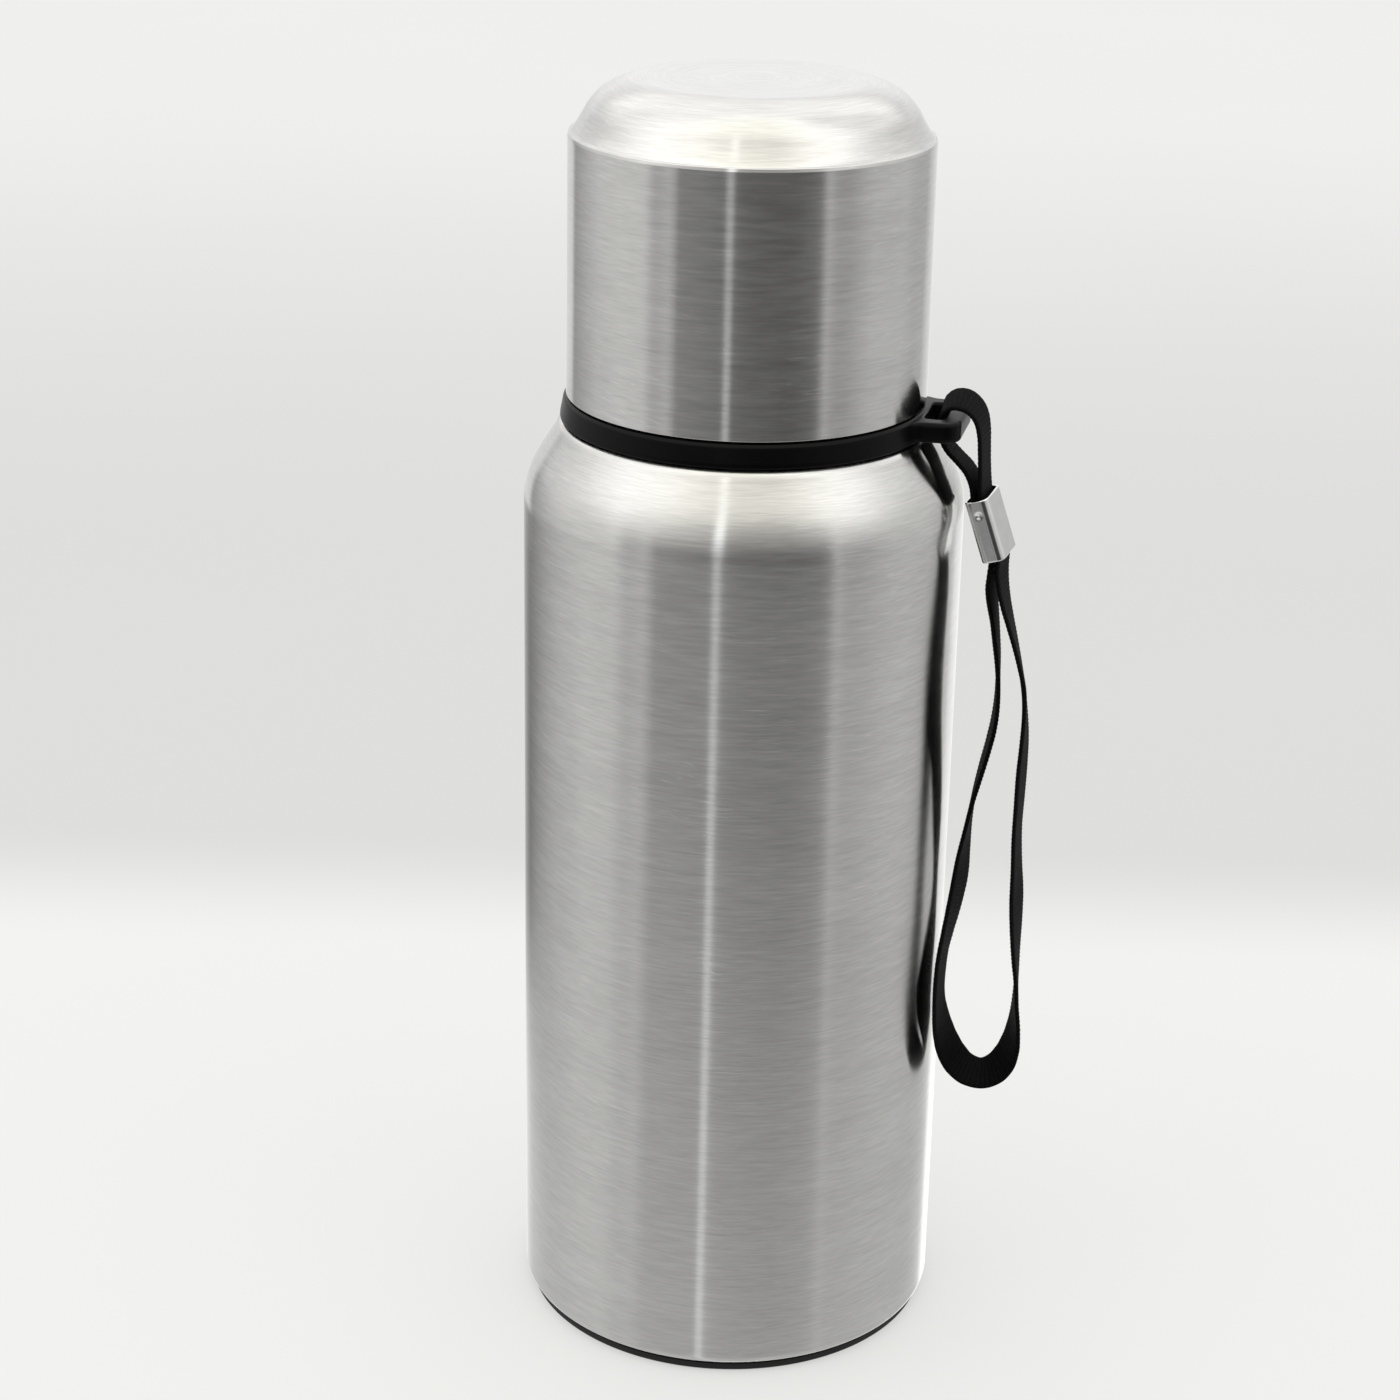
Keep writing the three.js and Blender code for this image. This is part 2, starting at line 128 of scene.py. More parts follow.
def new_material(name):
    mat = bpy.data.materials.new(name)
    mat.use_nodes = True
    nt = mat.node_tree
    bsdf = next(n for n in nt.nodes if n.type == "BSDF_PRINCIPLED")
    return mat, nt, bsdf


def feed(nt, bsdf, **values):
    names = {"base": "Base Color", "metallic": "Metallic", "roughness": "Roughness", "normal": "Normal", "spec": "Specular IOR Level",
             "aniso": "Anisotropic", "rot": "Anisotropic Rotation", "tangent": "Tangent", "coat": "Coat Weight", "coat_rough": "Coat Roughness",
             "sheen": "Sheen Weight", "sheen_rough": "Sheen Roughness", "sheen_tint": "Sheen Tint", "sss": "Subsurface Weight",
             "sss_radius": "Subsurface Radius", "sss_scale": "Subsurface Scale", "ior": "IOR"}
    for k, v in values.items():
        s = bsdf.inputs[names[k]]
        if isinstance(v, bpy.types.NodeSocket):
            nt.links.new(v, s)
        elif hasattr(v, "__len__") and len(v) == 3 and len(s.default_value) == 4:
            s.default_value = (*v, 1.0)
        else:
            s.default_value = v


def bump(nt, height, strength, distance, normal=None):
    inputs = {"Strength": strength, "Distance": distance, "Height": height}
    if normal is not None:
        inputs["Normal"] = normal
    return node(nt, "ShaderNodeBump", inputs).outputs[0]


# ------------------------------------------------------------------ materials
def turned_steel(name, tone, rough, aniso, depth, scratches, worn=0.0):
    """Stainless steel brushed round its axis: long fine lines, a few hairline scratches and light handling marks."""
    mat, nt, bsdf = new_material(name)
    co = node(nt, "ShaderNodeTexCoord").outputs["Object"]
    sep = node(nt, "ShaderNodeSeparateXYZ", {0: co})
    x, y, z = sep.outputs
    r = math_(nt, "SQRT", math_(nt, "ADD", math_(nt, "MULTIPLY", x, x), math_(nt, "MULTIPLY", y, y)))
    along = math_(nt, "SUBTRACT", z, r)

    def lines(length, pitch, detail=2.0, shift=0.0, w=along):
        v = node(nt, "ShaderNodeCombineXYZ", {0: math_(nt, "MULTIPLY", x, 1000 / length), 1: math_(nt, "MULTIPLY", y, 1000 / length),
                                              2: math_(nt, "MULTIPLY_ADD", w, 1000 / pitch, shift)})
        return noise(nt, v.outputs[0], 1.0, detail, 0.55)

    fine = lines(5.0, 0.42, 2.0)
    mid = lines(11.0, 1.1, 2.0, 17.0)
    broad = lines(42.0, 9.0, 2.0, 5.0)
    tilted = math_(nt, "MULTIPLY_ADD", x, 0.13, math_(nt, "MULTIPLY_ADD", y, -0.10, along))
    hair = map_range(nt, lines(3.2, 0.55, 1.0, 31.0, tilted), 0.66, 0.74)
    hair2 = map_range(nt, lines(7.0, 0.45, 1.0, 77.0), 0.67, 0.75)
    where = map_range(nt, noise(nt, co, 46.0, 2.0, 0.5), 0.47, 0.62)
    hair = math_(nt, "MULTIPLY", math_(nt, "MAXIMUM", hair, hair2), where)
    tex = math_(nt, "ADD", math_(nt, "MULTIPLY", fine, 0.62), math_(nt, "MULTIPLY", mid, 0.38))
    shade = map_range(nt, tex, 0.3, 0.7, 0.90, 1.09)
    shade = math_(nt, "MULTIPLY", shade, map_range(nt, broad, 0.3, 0.7, 0.965, 1.035))
    shade = math_(nt, "MULTIPLY_ADD", hair, 0.10 * scratches, shade)
    grey = node(nt, "ShaderNodeCombineColor", {0: shade, 1: shade, 2: shade}).outputs[0]
    base = mix_rgb(nt, 1.0, grey, tone, "MULTIPLY")
    smudge = map_range(nt, noise(nt, co, 21.0, 3.0, 0.55), 0.35, 0.75)
    rg = math_(nt, "MULTIPLY_ADD", smudge, 0.035 + worn, rough - 0.015)
    rg = math_(nt, "MULTIPLY_ADD", math_(nt, "SUBTRACT", mid, 0.5), 0.05, rg)
    # brushed metal mirrors more sharply the more it is seen edge on
    facing = node(nt, "ShaderNodeLayerWeight", {0: 0.5}).outputs["Facing"]
    rg = math_(nt, "MULTIPLY", rg, map_range(nt, facing, 0.50, 0.86, 1.0, 0.42, "SMOOTHSTEP"))
    height = math_(nt, "MULTIPLY_ADD", hair, 0.5 * scratches, tex)
    nrm = bump(nt, height, 1.0, depth)
    tangent = node(nt, "ShaderNodeTangent", direction_type="RADIAL", axis="Z").outputs[0]
    feed(nt, bsdf, base=base, metallic=1.0, roughness=rg, aniso=aniso, rot=0.25, tangent=tangent, normal=nrm)
    return mat


def pressed_steel(name, tone, rough, depth):
    """Plain drawn or pressed stainless steel, with a soft mottled satin."""
    mat, nt, bsdf = new_material(name)
    co = node(nt, "ShaderNodeTexCoord").outputs["Object"]
    a = noise(nt, co, 900.0, 3.0, 0.6)
    b = noise(nt, co, 120.0, 3.0, 0.5)
    shade = math_(nt, "MULTIPLY", map_range(nt, a, 0.3, 0.7, 0.95, 1.05), map_range(nt, b, 0.3, 0.7, 0.94, 1.05))
    grey = node(nt, "ShaderNodeCombineColor", {0: shade, 1: shade, 2: shade}).outputs[0]
    feed(nt, bsdf, base=mix_rgb(nt, 1.0, grey, tone, "MULTIPLY"), metallic=1.0,
         roughness=map_range(nt, b, 0.3, 0.7, rough - 0.04, rough + 0.06), normal=bump(nt, a, 1.0, depth))
    return mat


def moulded(name, tone, rough, grain=0.00002, mark=0.06, scale=2600.0, **more):
    """Injection moulded plastic or rubber: fine spark-eroded grain, faint flow and handling marks."""
    mat, nt, bsdf = new_material(name)
    co = node(nt, "ShaderNodeTexCoord").outputs["Object"]
    g = noise(nt, co, scale, 3.0, 0.6)
    flow = noise(nt, co, 70.0, 4.0, 0.55, distortion=0.6)
    geo = node(nt, "ShaderNodeNewGeometry").outputs["Pointiness"]
    edge = map_range(nt, geo, 0.52, 0.60)
    c1 = tuple(t * (1 - mark) for t in tone)
    c2 = tuple(min(1.0, t * (1 + mark)) for t in tone)
    base = mix_rgb(nt, map_range(nt, flow, 0.3, 0.7), c1, c2)
    worn = tuple(min(1.0, t * 1.3 + 0.004) for t in tone)
    base = mix_rgb(nt, math_(nt, "MULTIPLY", edge, 0.5), base, worn)
    rg = math_(nt, "ADD", map_range(nt, flow, 0.3, 0.7, rough - 0.04, rough + 0.05), map_range(nt, g, 0.3, 0.7, -0.03, 0.03))
    feed(nt, bsdf, base=base, roughness=rg, normal=bump(nt, g, 1.0, grain), **more)
    return mat


def webbing_material():
    """Black polyester webbing: dark floats over darker gaps, a dull sheen and a little lint."""
    mat, nt, bsdf = new_material("black_webbing")
    uv = node(nt, "ShaderNodeUVMap", uv_map="UVMap").outputs[0]       # u across in mm, v along in mm
    sep = node(nt, "ShaderNodeSeparateXYZ", {0: uv})
    u, v = sep.outputs[0], sep.outputs[1]
    co = node(nt, "ShaderNodeTexCoord").outputs["Object"]
    rib = math_(nt, "COSINE", math_(nt, "MULTIPLY", v, TAU / 0.9))
    warp = math_(nt, "COSINE", math_(nt, "MULTIPLY", u, TAU / 0.47))
    # the weft crosses over and under each end of warp, half a rib out on alternate ends
    plain = math_(nt, "MULTIPLY", warp, math_(nt, "SINE", math_(nt, "MULTIPLY", v, TAU / 1.8)))
    yarn = node(nt, "ShaderNodeCombineXYZ", {0: math_(nt, "MULTIPLY", u, 9.0), 1: math_(nt, "MULTIPLY", v, 1.2), 2: 0.0}).outputs[0]
    fibre = noise(nt, yarn, 2.4, 3.0, 0.6)
    lint = map_range(nt, noise(nt, co, 5200.0, 1.0), 0.74, 0.80)
    t = map_range(nt, math_(nt, "ADD", rib, math_(nt, "MULTIPLY", plain, 0.5)), -1.2, 1.2)
    t = math_(nt, "MULTIPLY", t, map_range(nt, fibre, 0.3, 0.7, 0.75, 1.2))
    base = mix_rgb(nt, t, (0.0009, 0.0009, 0.0010), (0.0044, 0.0044, 0.0048))
    base = mix_rgb(nt, math_(nt, "MULTIPLY", lint, 0.25), base, (0.09, 0.09, 0.09))
    h = math_(nt, "ADD", math_(nt, "MULTIPLY", plain, 0.5), math_(nt, "MULTIPLY", fibre, 0.55))
    h = math_(nt, "ADD", h, math_(nt, "MULTIPLY", warp, 0.2))
    feed(nt, bsdf, base=base, roughness=map_range(nt, fibre, 0.3, 0.7, 0.62, 0.8), normal=bump(nt, h, 1.0, 0.00005),
         sheen=0.015, sheen_rough=0.45, sheen_tint=(0.6, 0.6, 0.62), spec=0.07)
    return mat


def plated(name, tone, rough):
    """Bright nickel plate with polishing haze and small dings."""
    mat, nt, bsdf = new_material(name)
    co = node(nt, "ShaderNodeTexCoord").outputs["Object"]
    haze = noise(nt, co, 420.0, 4.0, 0.6)
    fine = noise(nt, co, 3000.0, 2.0, 0.5)
    shade = map_range(nt, haze, 0.3, 0.7, 0.95, 1.03)
    grey = node(nt, "ShaderNodeCombineColor", {0: shade, 1: shade, 2: shade}).outputs[0]
    h = math_(nt, "MULTIPLY_ADD", fine, 0.12, haze)
    feed(nt, bsdf, base=mix_rgb(nt, 1.0, grey, tone, "MULTIPLY"), metallic=1.0,
         roughness=map_range(nt, haze, 0.35, 0.75, rough, rough + 0.07), normal=bump(nt, h, 1.0, 0.000012))
    return mat


STEEL = turned_steel("steel_brushed", (0.635, 0.630, 0.612), 0.20, 1.0, 0.000012, 1.0)
STEEL_CUP = turned_steel("steel_brushed_cup", (0.635, 0.630, 0.612), 0.17, 1.0, 0.000012, 1.0)
STEEL_BASE = turned_steel("steel_bright", (0.62, 0.62, 0.61), 0.30, 0.75, 0.000012, 0.5)
STEEL_IN = pressed_steel("steel_satin", (0.66, 0.66, 0.65), 0.30, 0.00001)
BLACK = moulded("black_plastic", (0.0016, 0.0016, 0.0018), 0.32, spec=0.1)
# partly painted shade: the foot ring's near-black rubber also stands in for the dark shadow line under the base's edge
RUBBER_AND_PAINTED_SHADE = moulded("black_rubber", (0.011, 0.011, 0.011), 0.62, grain=0.00004, scale=1800.0, spec=0.35)
GREY = moulded("grey_plastic", (0.26, 0.27, 0.28), 0.42, spec=0.5)
WHITE = moulded("white_plastic", (0.72, 0.72, 0.69), 0.45, mark=0.03, spec=0.5, sss=0.04, sss_radius=(0.6, 0.5, 0.4), sss_scale=0.0012)
LINER = moulded("liner_plastic", (0.74, 0.73, 0.70), 0.30, grain=0.000008, mark=0.03, spec=0.5, sss=0.05, sss_radius=(0.6, 0.5, 0.4), sss_scale=0.0012)
SILICONE = moulded("white_silicone", (0.60, 0.62, 0.61), 0.50, grain=0.00001, mark=0.03, spec=0.4, sss=0.25, sss_radius=(0.7, 0.7, 0.7), sss_scale=0.0015)
FOIL = pressed_steel("copper_foil", (0.72, 0.42, 0.27), 0.18, 0.00012)
GETTER = pressed_steel("getter_grey", (0.25, 0.25, 0.25), 0.7, 0.00008)
WIRE = pressed_steel("spring_steel", (0.58, 0.58, 0.58), 0.24, 0.000004)
WEB = webbing_material()
PLATE = plated("chrome_ferrule", (0.83, 0.83, 0.82), 0.07)


# ------------------------------------------------------------------ mesh helpers
def make(name, verts, faces, material, body, nodes=(), smooth=True, uvs=None):
    """verts in mm; faces any polygons. The mesh is turned outward by its volume."""
    v = np.asarray(verts, float)
    tri = np.array([(f[0], f[i], f[i + 1]) for f in faces for i in range(1, len(f) - 1)])
    if np.einsum("ij,ij->", v[tri[:, 0]], np.cross(v[tri[:, 1]], v[tri[:, 2]])) < 0:
        faces = [tuple(reversed(f)) for f in faces]
    me = bpy.data.meshes.new(name)
    me.from_pydata((v * MM).tolist(), [], [tuple(int(i) for i in f) for f in faces])
    if smooth:
        me.shade_smooth()
    if uvs is not None:
        layer = me.uv_layers.new(name="UVMap")
        idx = np.zeros(len(me.loops), np.int32)
        me.loops.foreach_get("vertex_index", idx)
        layer.data.foreach_set("uv", np.asarray(uvs, np.float32)[idx].ravel())
    me.validate()
    ob = bpy.data.objects.new(name, me)
    scene.collection.objects.link(ob)
    finish_piece(ob, material, body, nodes)
    return ob


def finish_piece(ob, material, body, nodes):
    ob.data.materials.clear()
    ob.data.materials.append(material)
    if body:
        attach(ob, body)
    if nodes:
        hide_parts(*nodes)


def rounded(points, closed=True, step=11.0, guard=0.22, most=None):
    """A section of straight lines with its corners rounded: points are [r, z] or [r, z, radius], in mm.
    A guard point on each side of every arc keeps the flat faces flat under smooth shading."""
    pts = [(p[0], p[1], p[2] if len(p) > 2 else 0.0) for p in points]
    n = len(pts)
    out = []
    for i, (r, z, rad) in enumerate(pts):
        c = np.array((r, z))
        if not closed and i in (0, n - 1):
            out.append(c)
            continue
        a = np.array(pts[i - 1][:2]) - c
        b = np.array(pts[(i + 1) % n][:2]) - c
        la, lb = np.linalg.norm(a), np.linalg.norm(b)
        a, b = a / la, b / lb
        ang = math.acos(max(-1.0, min(1.0, float(a @ b))))
        if rad <= 0 or ang > math.pi - 0.02:
            out.append(c)
            continue
        t = min(rad / math.tan(ang / 2), 0.44 * la, 0.44 * lb)
        rad = t * math.tan(ang / 2)
        mid = a + b
        centre = c + mid / np.linalg.norm(mid) * (rad / math.sin(ang / 2))
        sweep = math.pi - ang
        k = max(2, math.ceil(math.degrees(sweep) / step))
        p0, p1 = c + a * t, c + b * t
        g = min(guard, 0.04 * la if t > 0.3 * la else guard)
        if la - t > 2.2 * g:
            out.append(p0 + a * g)
        v0, v1 = p0 - centre, p1 - centre
        for j in range(k + 1):
            s = j / k
            w0, w1 = math.sin((1 - s) * sweep) / math.sin(sweep), math.sin(s * sweep) / math.sin(sweep)
            out.append(centre + v0 * w0 + v1 * w1)
        if lb - t > 2.2 * g:
            out.append(p1 + b * g)
    out = [np.asarray(p, float) for p in out]
    if most:                       # long straight runs are cut into rows
        cut = []
        last = len(out) if closed else len(out) - 1
        for i in range(last):
            p, q = out[i], out[(i + 1) % len(out)]
            cut.append(p)
            k = int(np.linalg.norm(q - p) // most)
            for j in range(1, k + 1):
                cut.append(p + (q - p) * j / (k + 1))
        if not closed:
            cut.append(out[-1])
        out = cut
    return [tuple(p) for p in out]


def spline(points, start=None, end=None, step=0.5):
    """A smooth curve through points, with its end directions given: sampled about every step mm."""
    p = [np.asarray(q, float) for q in points]
    t = [0.0]
    for a, b in zip(p, p[1:]):
        t.append(t[-1] + math.sqrt(np.linalg.norm(b - a)))
    n = len(p)
    tang = []
    for i in range(n):
        if i in (0, n - 1):
            j = 0 if i == 0 else n - 2
            d = (p[j + 1] - p[j]) / (t[j + 1] - t[j])
            given = start if i == 0 else end
            if given is not None:
                g = np.asarray(given, float)
                d = g / np.linalg.norm(g) * np.linalg.norm(d)
            tang.append(d)
        else:
            h0, h1 = t[i] - t[i - 1], t[i + 1] - t[i]
            tang.append(((p[i] - p[i - 1]) / h0 * h1 + (p[i + 1] - p[i]) / h1 * h0) / (h0 + h1))
    out = []
    for i in range(n - 1):
        h = t[i + 1] - t[i]
        k = max(1, round(np.linalg.norm(p[i + 1] - p[i]) / step))
        for j in range(k + (i == n - 2)):
            s = j / k
            out.append((2 * s ** 3 - 3 * s ** 2 + 1) * p[i] + (s ** 3 - 2 * s ** 2 + s) * h * tang[i]
                       + (3 * s ** 2 - 2 * s ** 3) * p[i + 1] + (s ** 3 - s ** 2) * h * tang[i + 1])
    return [tuple(q) for q in out]


def turned_mesh(path, segs=256, relief=None):
    """Vertices and faces of a section turned round Z. The path runs from axis to axis, or is closed on itself."""
    path = [tuple(p) for p in path]
    keep = [path[0]]
    for p in path[1:]:
        if math.dist(p, keep[-1]) > 1e-4:
            keep.append(p)
    path = keep
    polar = abs(path[0][0]) < 1e-6 and abs(path[-1][0]) < 1e-6
    if not polar and math.dist(path[0], path[-1]) < 1e-4:
        path.pop()
    rings = path[1:-1] if polar else path
    th = np.arange(segs) * TAU / segs
    R = np.array([p[0] for p in rings])[:, None] + np.zeros(segs)
    Z = np.array([p[1] for p in rings])[:, None] + np.zeros(segs)
    T = th[None, :] + np.zeros_like(R)
    if relief is not None:
        R = R + relief(R, Z, T)
    verts = np.stack([R * np.cos(T), R * np.sin(T), Z], -1).reshape(-1, 3)
    n = len(rings)
    faces = []
    rows = range(n - 1) if polar else range(n)
    for i in rows:
        a, b = i * segs, ((i + 1) % n) * segs
        for j in range(segs):
            k = (j + 1) % segs
            faces.append((a + j, a + k, b + k, b + j))
    if polar:
        lo, hi = len(verts), len(verts) + 1
        verts = np.vstack([verts, [0, 0, path[0][1]], [0, 0, path[-1][1]]])
        last = (n - 1) * segs
        for j in range(segs):
            k = (j + 1) % segs
            faces.append((lo, k, j))
            faces.append((hi, last + j, last + k))
    return verts, faces


def turned(name, path, material, body, slot, *nodes, segs=256, relief=None):
    v, f = turned_mesh(path, segs, relief)
    return make(name, v, f, material, body, nodes)


def smooth01(x):
    x = np.clip(x, 0, 1)
    return x * x * (3 - 2 * x)


def thread_relief(rise, z0, turns, phase=0.0, pitch=4.5, half=1.15, where=None):
    """A rounded helical ridge of the given rise (minus is inward), easing in and out at its ends."""
    def relief(R, Z, T):
        dr = np.zeros_like(R)
        for k in range(-1, 3):
            s = (T - phase) / TAU + k
            inside = (s >= 0) & (s <= turns)
            grow = smooth01(s / 0.16) * smooth01((turns - s) / 0.16)
            d = np.abs(Z - (z0 + s * pitch))
            h = 1 - smooth01((d - 0.35) / (half - 0.35))
            dr = np.where(inside, np.maximum(dr, h * grow), dr)
        dr = dr * rise
        return dr if where is None else np.where(where(R, Z), dr, 0.0)
    return relief


def applied(ob):
    """The object's mesh with its modifiers applied."""
    dg = bpy.context.evaluated_depsgraph_get()
    me = bpy.data.meshes.new_from_object(ob.evaluated_get(dg))
    old = ob.data
    ob.modifiers.clear()
    ob.data = me
    bpy.data.meshes.remove(old)
    return ob


def cut(ob, tools, operation="DIFFERENCE"):
    """Boolean with throwaway tool meshes, given as (verts, faces) in mm."""
    made = []
    for v, f in tools:
        me = bpy.data.meshes.new("tool")
        me.from_pydata((np.asarray(v, float) * MM).tolist(), [], [tuple(int(i) for i in q) for q in f])
        bm = bmesh.new()
        bm.from_mesh(me)
        bmesh.ops.recalc_face_normals(bm, faces=bm.faces)
        bm.to_mesh(me)
        bm.free()
        t = bpy.data.objects.new("tool", me)
        scene.collection.objects.link(t)
        made.append(t)
        mod = ob.modifiers.new("cut", "BOOLEAN")
        mod.operation = operation
        mod.solver = "EXACT"
        mod.object = t
    bpy.context.view_layer.update()
    applied(ob)
    for t in made:
        me = t.data
        bpy.data.objects.remove(t)
        bpy.data.meshes.remove(me)
    ob.data.shade_smooth()
    ob.data.set_sharp_from_angle(angle=math.radians(32))
    return ob


def prism(outline, z0, z1):
    n = len(outline)
    v = [(x, y, z0) for x, y in outline] + [(x, y, z1) for x, y in outline]
    f = [tuple(range(n)), tuple(reversed(range(n, 2 * n)))]
    f += [(i, (i + 1) % n, n + (i + 1) % n, n + i) for i in range(n)]
    return v, f


# ------------------------------------------------------------------ strap routes, as in the CAD source
LUG_AZ = -12 * math.pi / 180
U = np.array((math.cos(LUG_AZ), math.sin(LUG_AZ), 0.0))
V = np.array((-math.sin(LUG_AZ), math.cos(LUG_AZ), 0.0))
ZUP = np.array((0.0, 0.0, 1.0))


def at(rho, t, z):
    return U * rho + V * t + ZUP * z


LUG_LOOP = [
    [48.43, 0, 177.41, -8], [46.99, 0, 181.66, -8], [46.3, 0, 184.3, -5], [45, 0, 186.8, -2], [43, 0, 188.9, 0],
    [41, 0, 190.9, 0], [39.7, 0, 193.1, 0], [39.2, 0, 195.5, 0], [39.3, 0, 197.8, 4], [40.1, 0, 199.6, 10],
    [41.7, 0, 200.6, 14], [43.6, 0, 200.5, 15], [45.6, 0, 199.3, 12], [46.9, 0, 197.2, 9], [47.5, 0, 194.5, 7],
    [47.75, 0, 191, 6], [47.95, 0, 187.5, 6], [48.15, 0, 184.6, 7], [48.41, 0, 182.14, 8], [48.99, 0, 180.44, 8],
]
HAND_LOOP = [
    [49.65, 0, 173.81, 8], [51.09, 0, 169.56, 8], [51, 0, 166.5, 8.8], [50.71, 0.4, 163.4, 7], [50.91, 0.9, 160, 3.4],
    [51.42, 1.3, 156.5, 0.2], [51.96, 1.6, 152, -2], [52.56, 1.6, 147, -5], [52.86, 1.6, 142, -8.6], [52.86, 1.6, 137.5, -9.9],
    [52.46, 1.6, 133, -10.2], [51.56, 1.6, 128, -9.1], [50.26, 1.6, 122, -7.5], [49.06, 1.6, 116, -3.8], [48.26, 1.6, 110, 1.5],
    [47.7, 1.4, 104, 9.9], [47.31, 0.9, 98, 15.4], [46.6, -0.8, 92.5, 14.2], [45.9, -3, 88, 10.2], [45.4, -5, 84, 6.8],
    [45.2, -6.3, 79, 5.6], [45.2, -6.4, 75, 5.1], [45.4, -5.6, 70.5, 8.2], [45.8, -3.4, 66, 14.2], [46.7, -1.4, 61.6, 21.9],
    [48.3, -0.3, 57.9, 26.2], [50.6, 0, 55.4, 24.3], [53.4, 0, 54.5, 23.3], [56.2, 0, 55.4, 30.2], [58.6, 0, 58, 35],
    [60.1, 0, 62.2, 30.1], [60.6, 0, 67, 20.5], [60.52, 0.4, 72, 11.5], [60.33, 0.8, 77, 6.3], [59.87, 1.1, 83, -0.7],
    [59.54, 1.2, 89.5, -7], [59.24, 1.2, 96, -9.3], [58.84, 1.2, 103, -4.7], [58.54, 1.2, 110, -3.3], [58.64, 1.2, 117, -4.2],
    [58.74, 1.2, 124, -5], [58.84, 1.2, 131, -1], [58.54, 1.2, 137.5, 6.4], [57.97, 1.1, 142.5, 10.7], [57.01, 0.9, 147, 8.6],
    [55.77, 0.6, 152, 5.6], [54.54, 0.3, 156.5, 1.8], [53.5, 0, 160.5, -2.3], [52.8, 0, 164, -5.7], [52.5, 0, 167, -8.4],
    [52.51, 0, 170.04, -8], [51.07, 0, 174.29, -8],
]


def route_frames(route, step):
    """Centres, widths, normals and distances along a webbing's route, evenly spaced."""
    p = np.array([at(*r[:3]) for r in route])
    tw = np.array([r[3] for r in route], float)
    n = len(p)
    ext = np.vstack([2 * p[0] - p[1], p, 2 * p[-1] - p[-2]])
    tx = np.concatenate([[tw[0]], tw, [tw[-1]]])
    pts, tan, twist = [], [], []
    for i in range(n - 1):
        x0, x1, x2, x3 = ext[i:i + 4]
        d0, d1, d2 = (np.sum((b - a) ** 2) ** 0.25 for a, b in ((x0, x1), (x1, x2), (x2, x3)))
        t1 = ((x1 - x0) / d0 - (x2 - x0) / (d0 + d1) + (x2 - x1) / d1) * d1
        t2 = ((x2 - x1) / d1 - (x3 - x1) / (d1 + d2) + (x3 - x2) / d2) * d1
        w0, w1, w2, w3 = tx[i:i + 4]
        m1, m2 = (w2 - w0) / 2, (w3 - w1) / 2
        k = 60
        for j in range(k + (i == n - 2)):
            s = j / k
            a, b, c, d = 2 * s ** 3 - 3 * s ** 2 + 1, s ** 3 - 2 * s ** 2 + s, 3 * s ** 2 - 2 * s ** 3, s ** 3 - s ** 2
            pts.append(a * x1 + b * t1 + c * x2 + d * t2)
            twist.append(a * w1 + b * m1 + c * w2 + d * m2)
    pts, twist = np.array(pts), np.array(twist)
    dist = np.concatenate([[0], np.cumsum(np.linalg.norm(np.diff(pts, axis=0), axis=1))])
    total = dist[-1]
    m_ = int(round(total / step)) + 1
    s = np.linspace(0, total, m_)
    c = np.stack([np.interp(s, dist, pts[:, k]) for k in range(3)], 1)
    for _ in range(3):             # takes the last facets out of the resampled line
        c[1:-1] = 0.25 * c[:-2] + 0.5 * c[1:-1] + 0.25 * c[2:]
    w = np.radians(np.interp(s, dist, twist))
    t = np.gradient(c, axis=0)
    t /= np.linalg.norm(t, axis=1)[:, None]
    n0 = np.cross(t, V)
    n0 /= np.linalg.norm(n0, axis=1)[:, None]
    v0 = np.cross(n0, t)
    W = v0 * np.cos(w)[:, None] + n0 * np.sin(w)[:, None]
    N = np.cross(t, W)
    return c, W, N, s, total


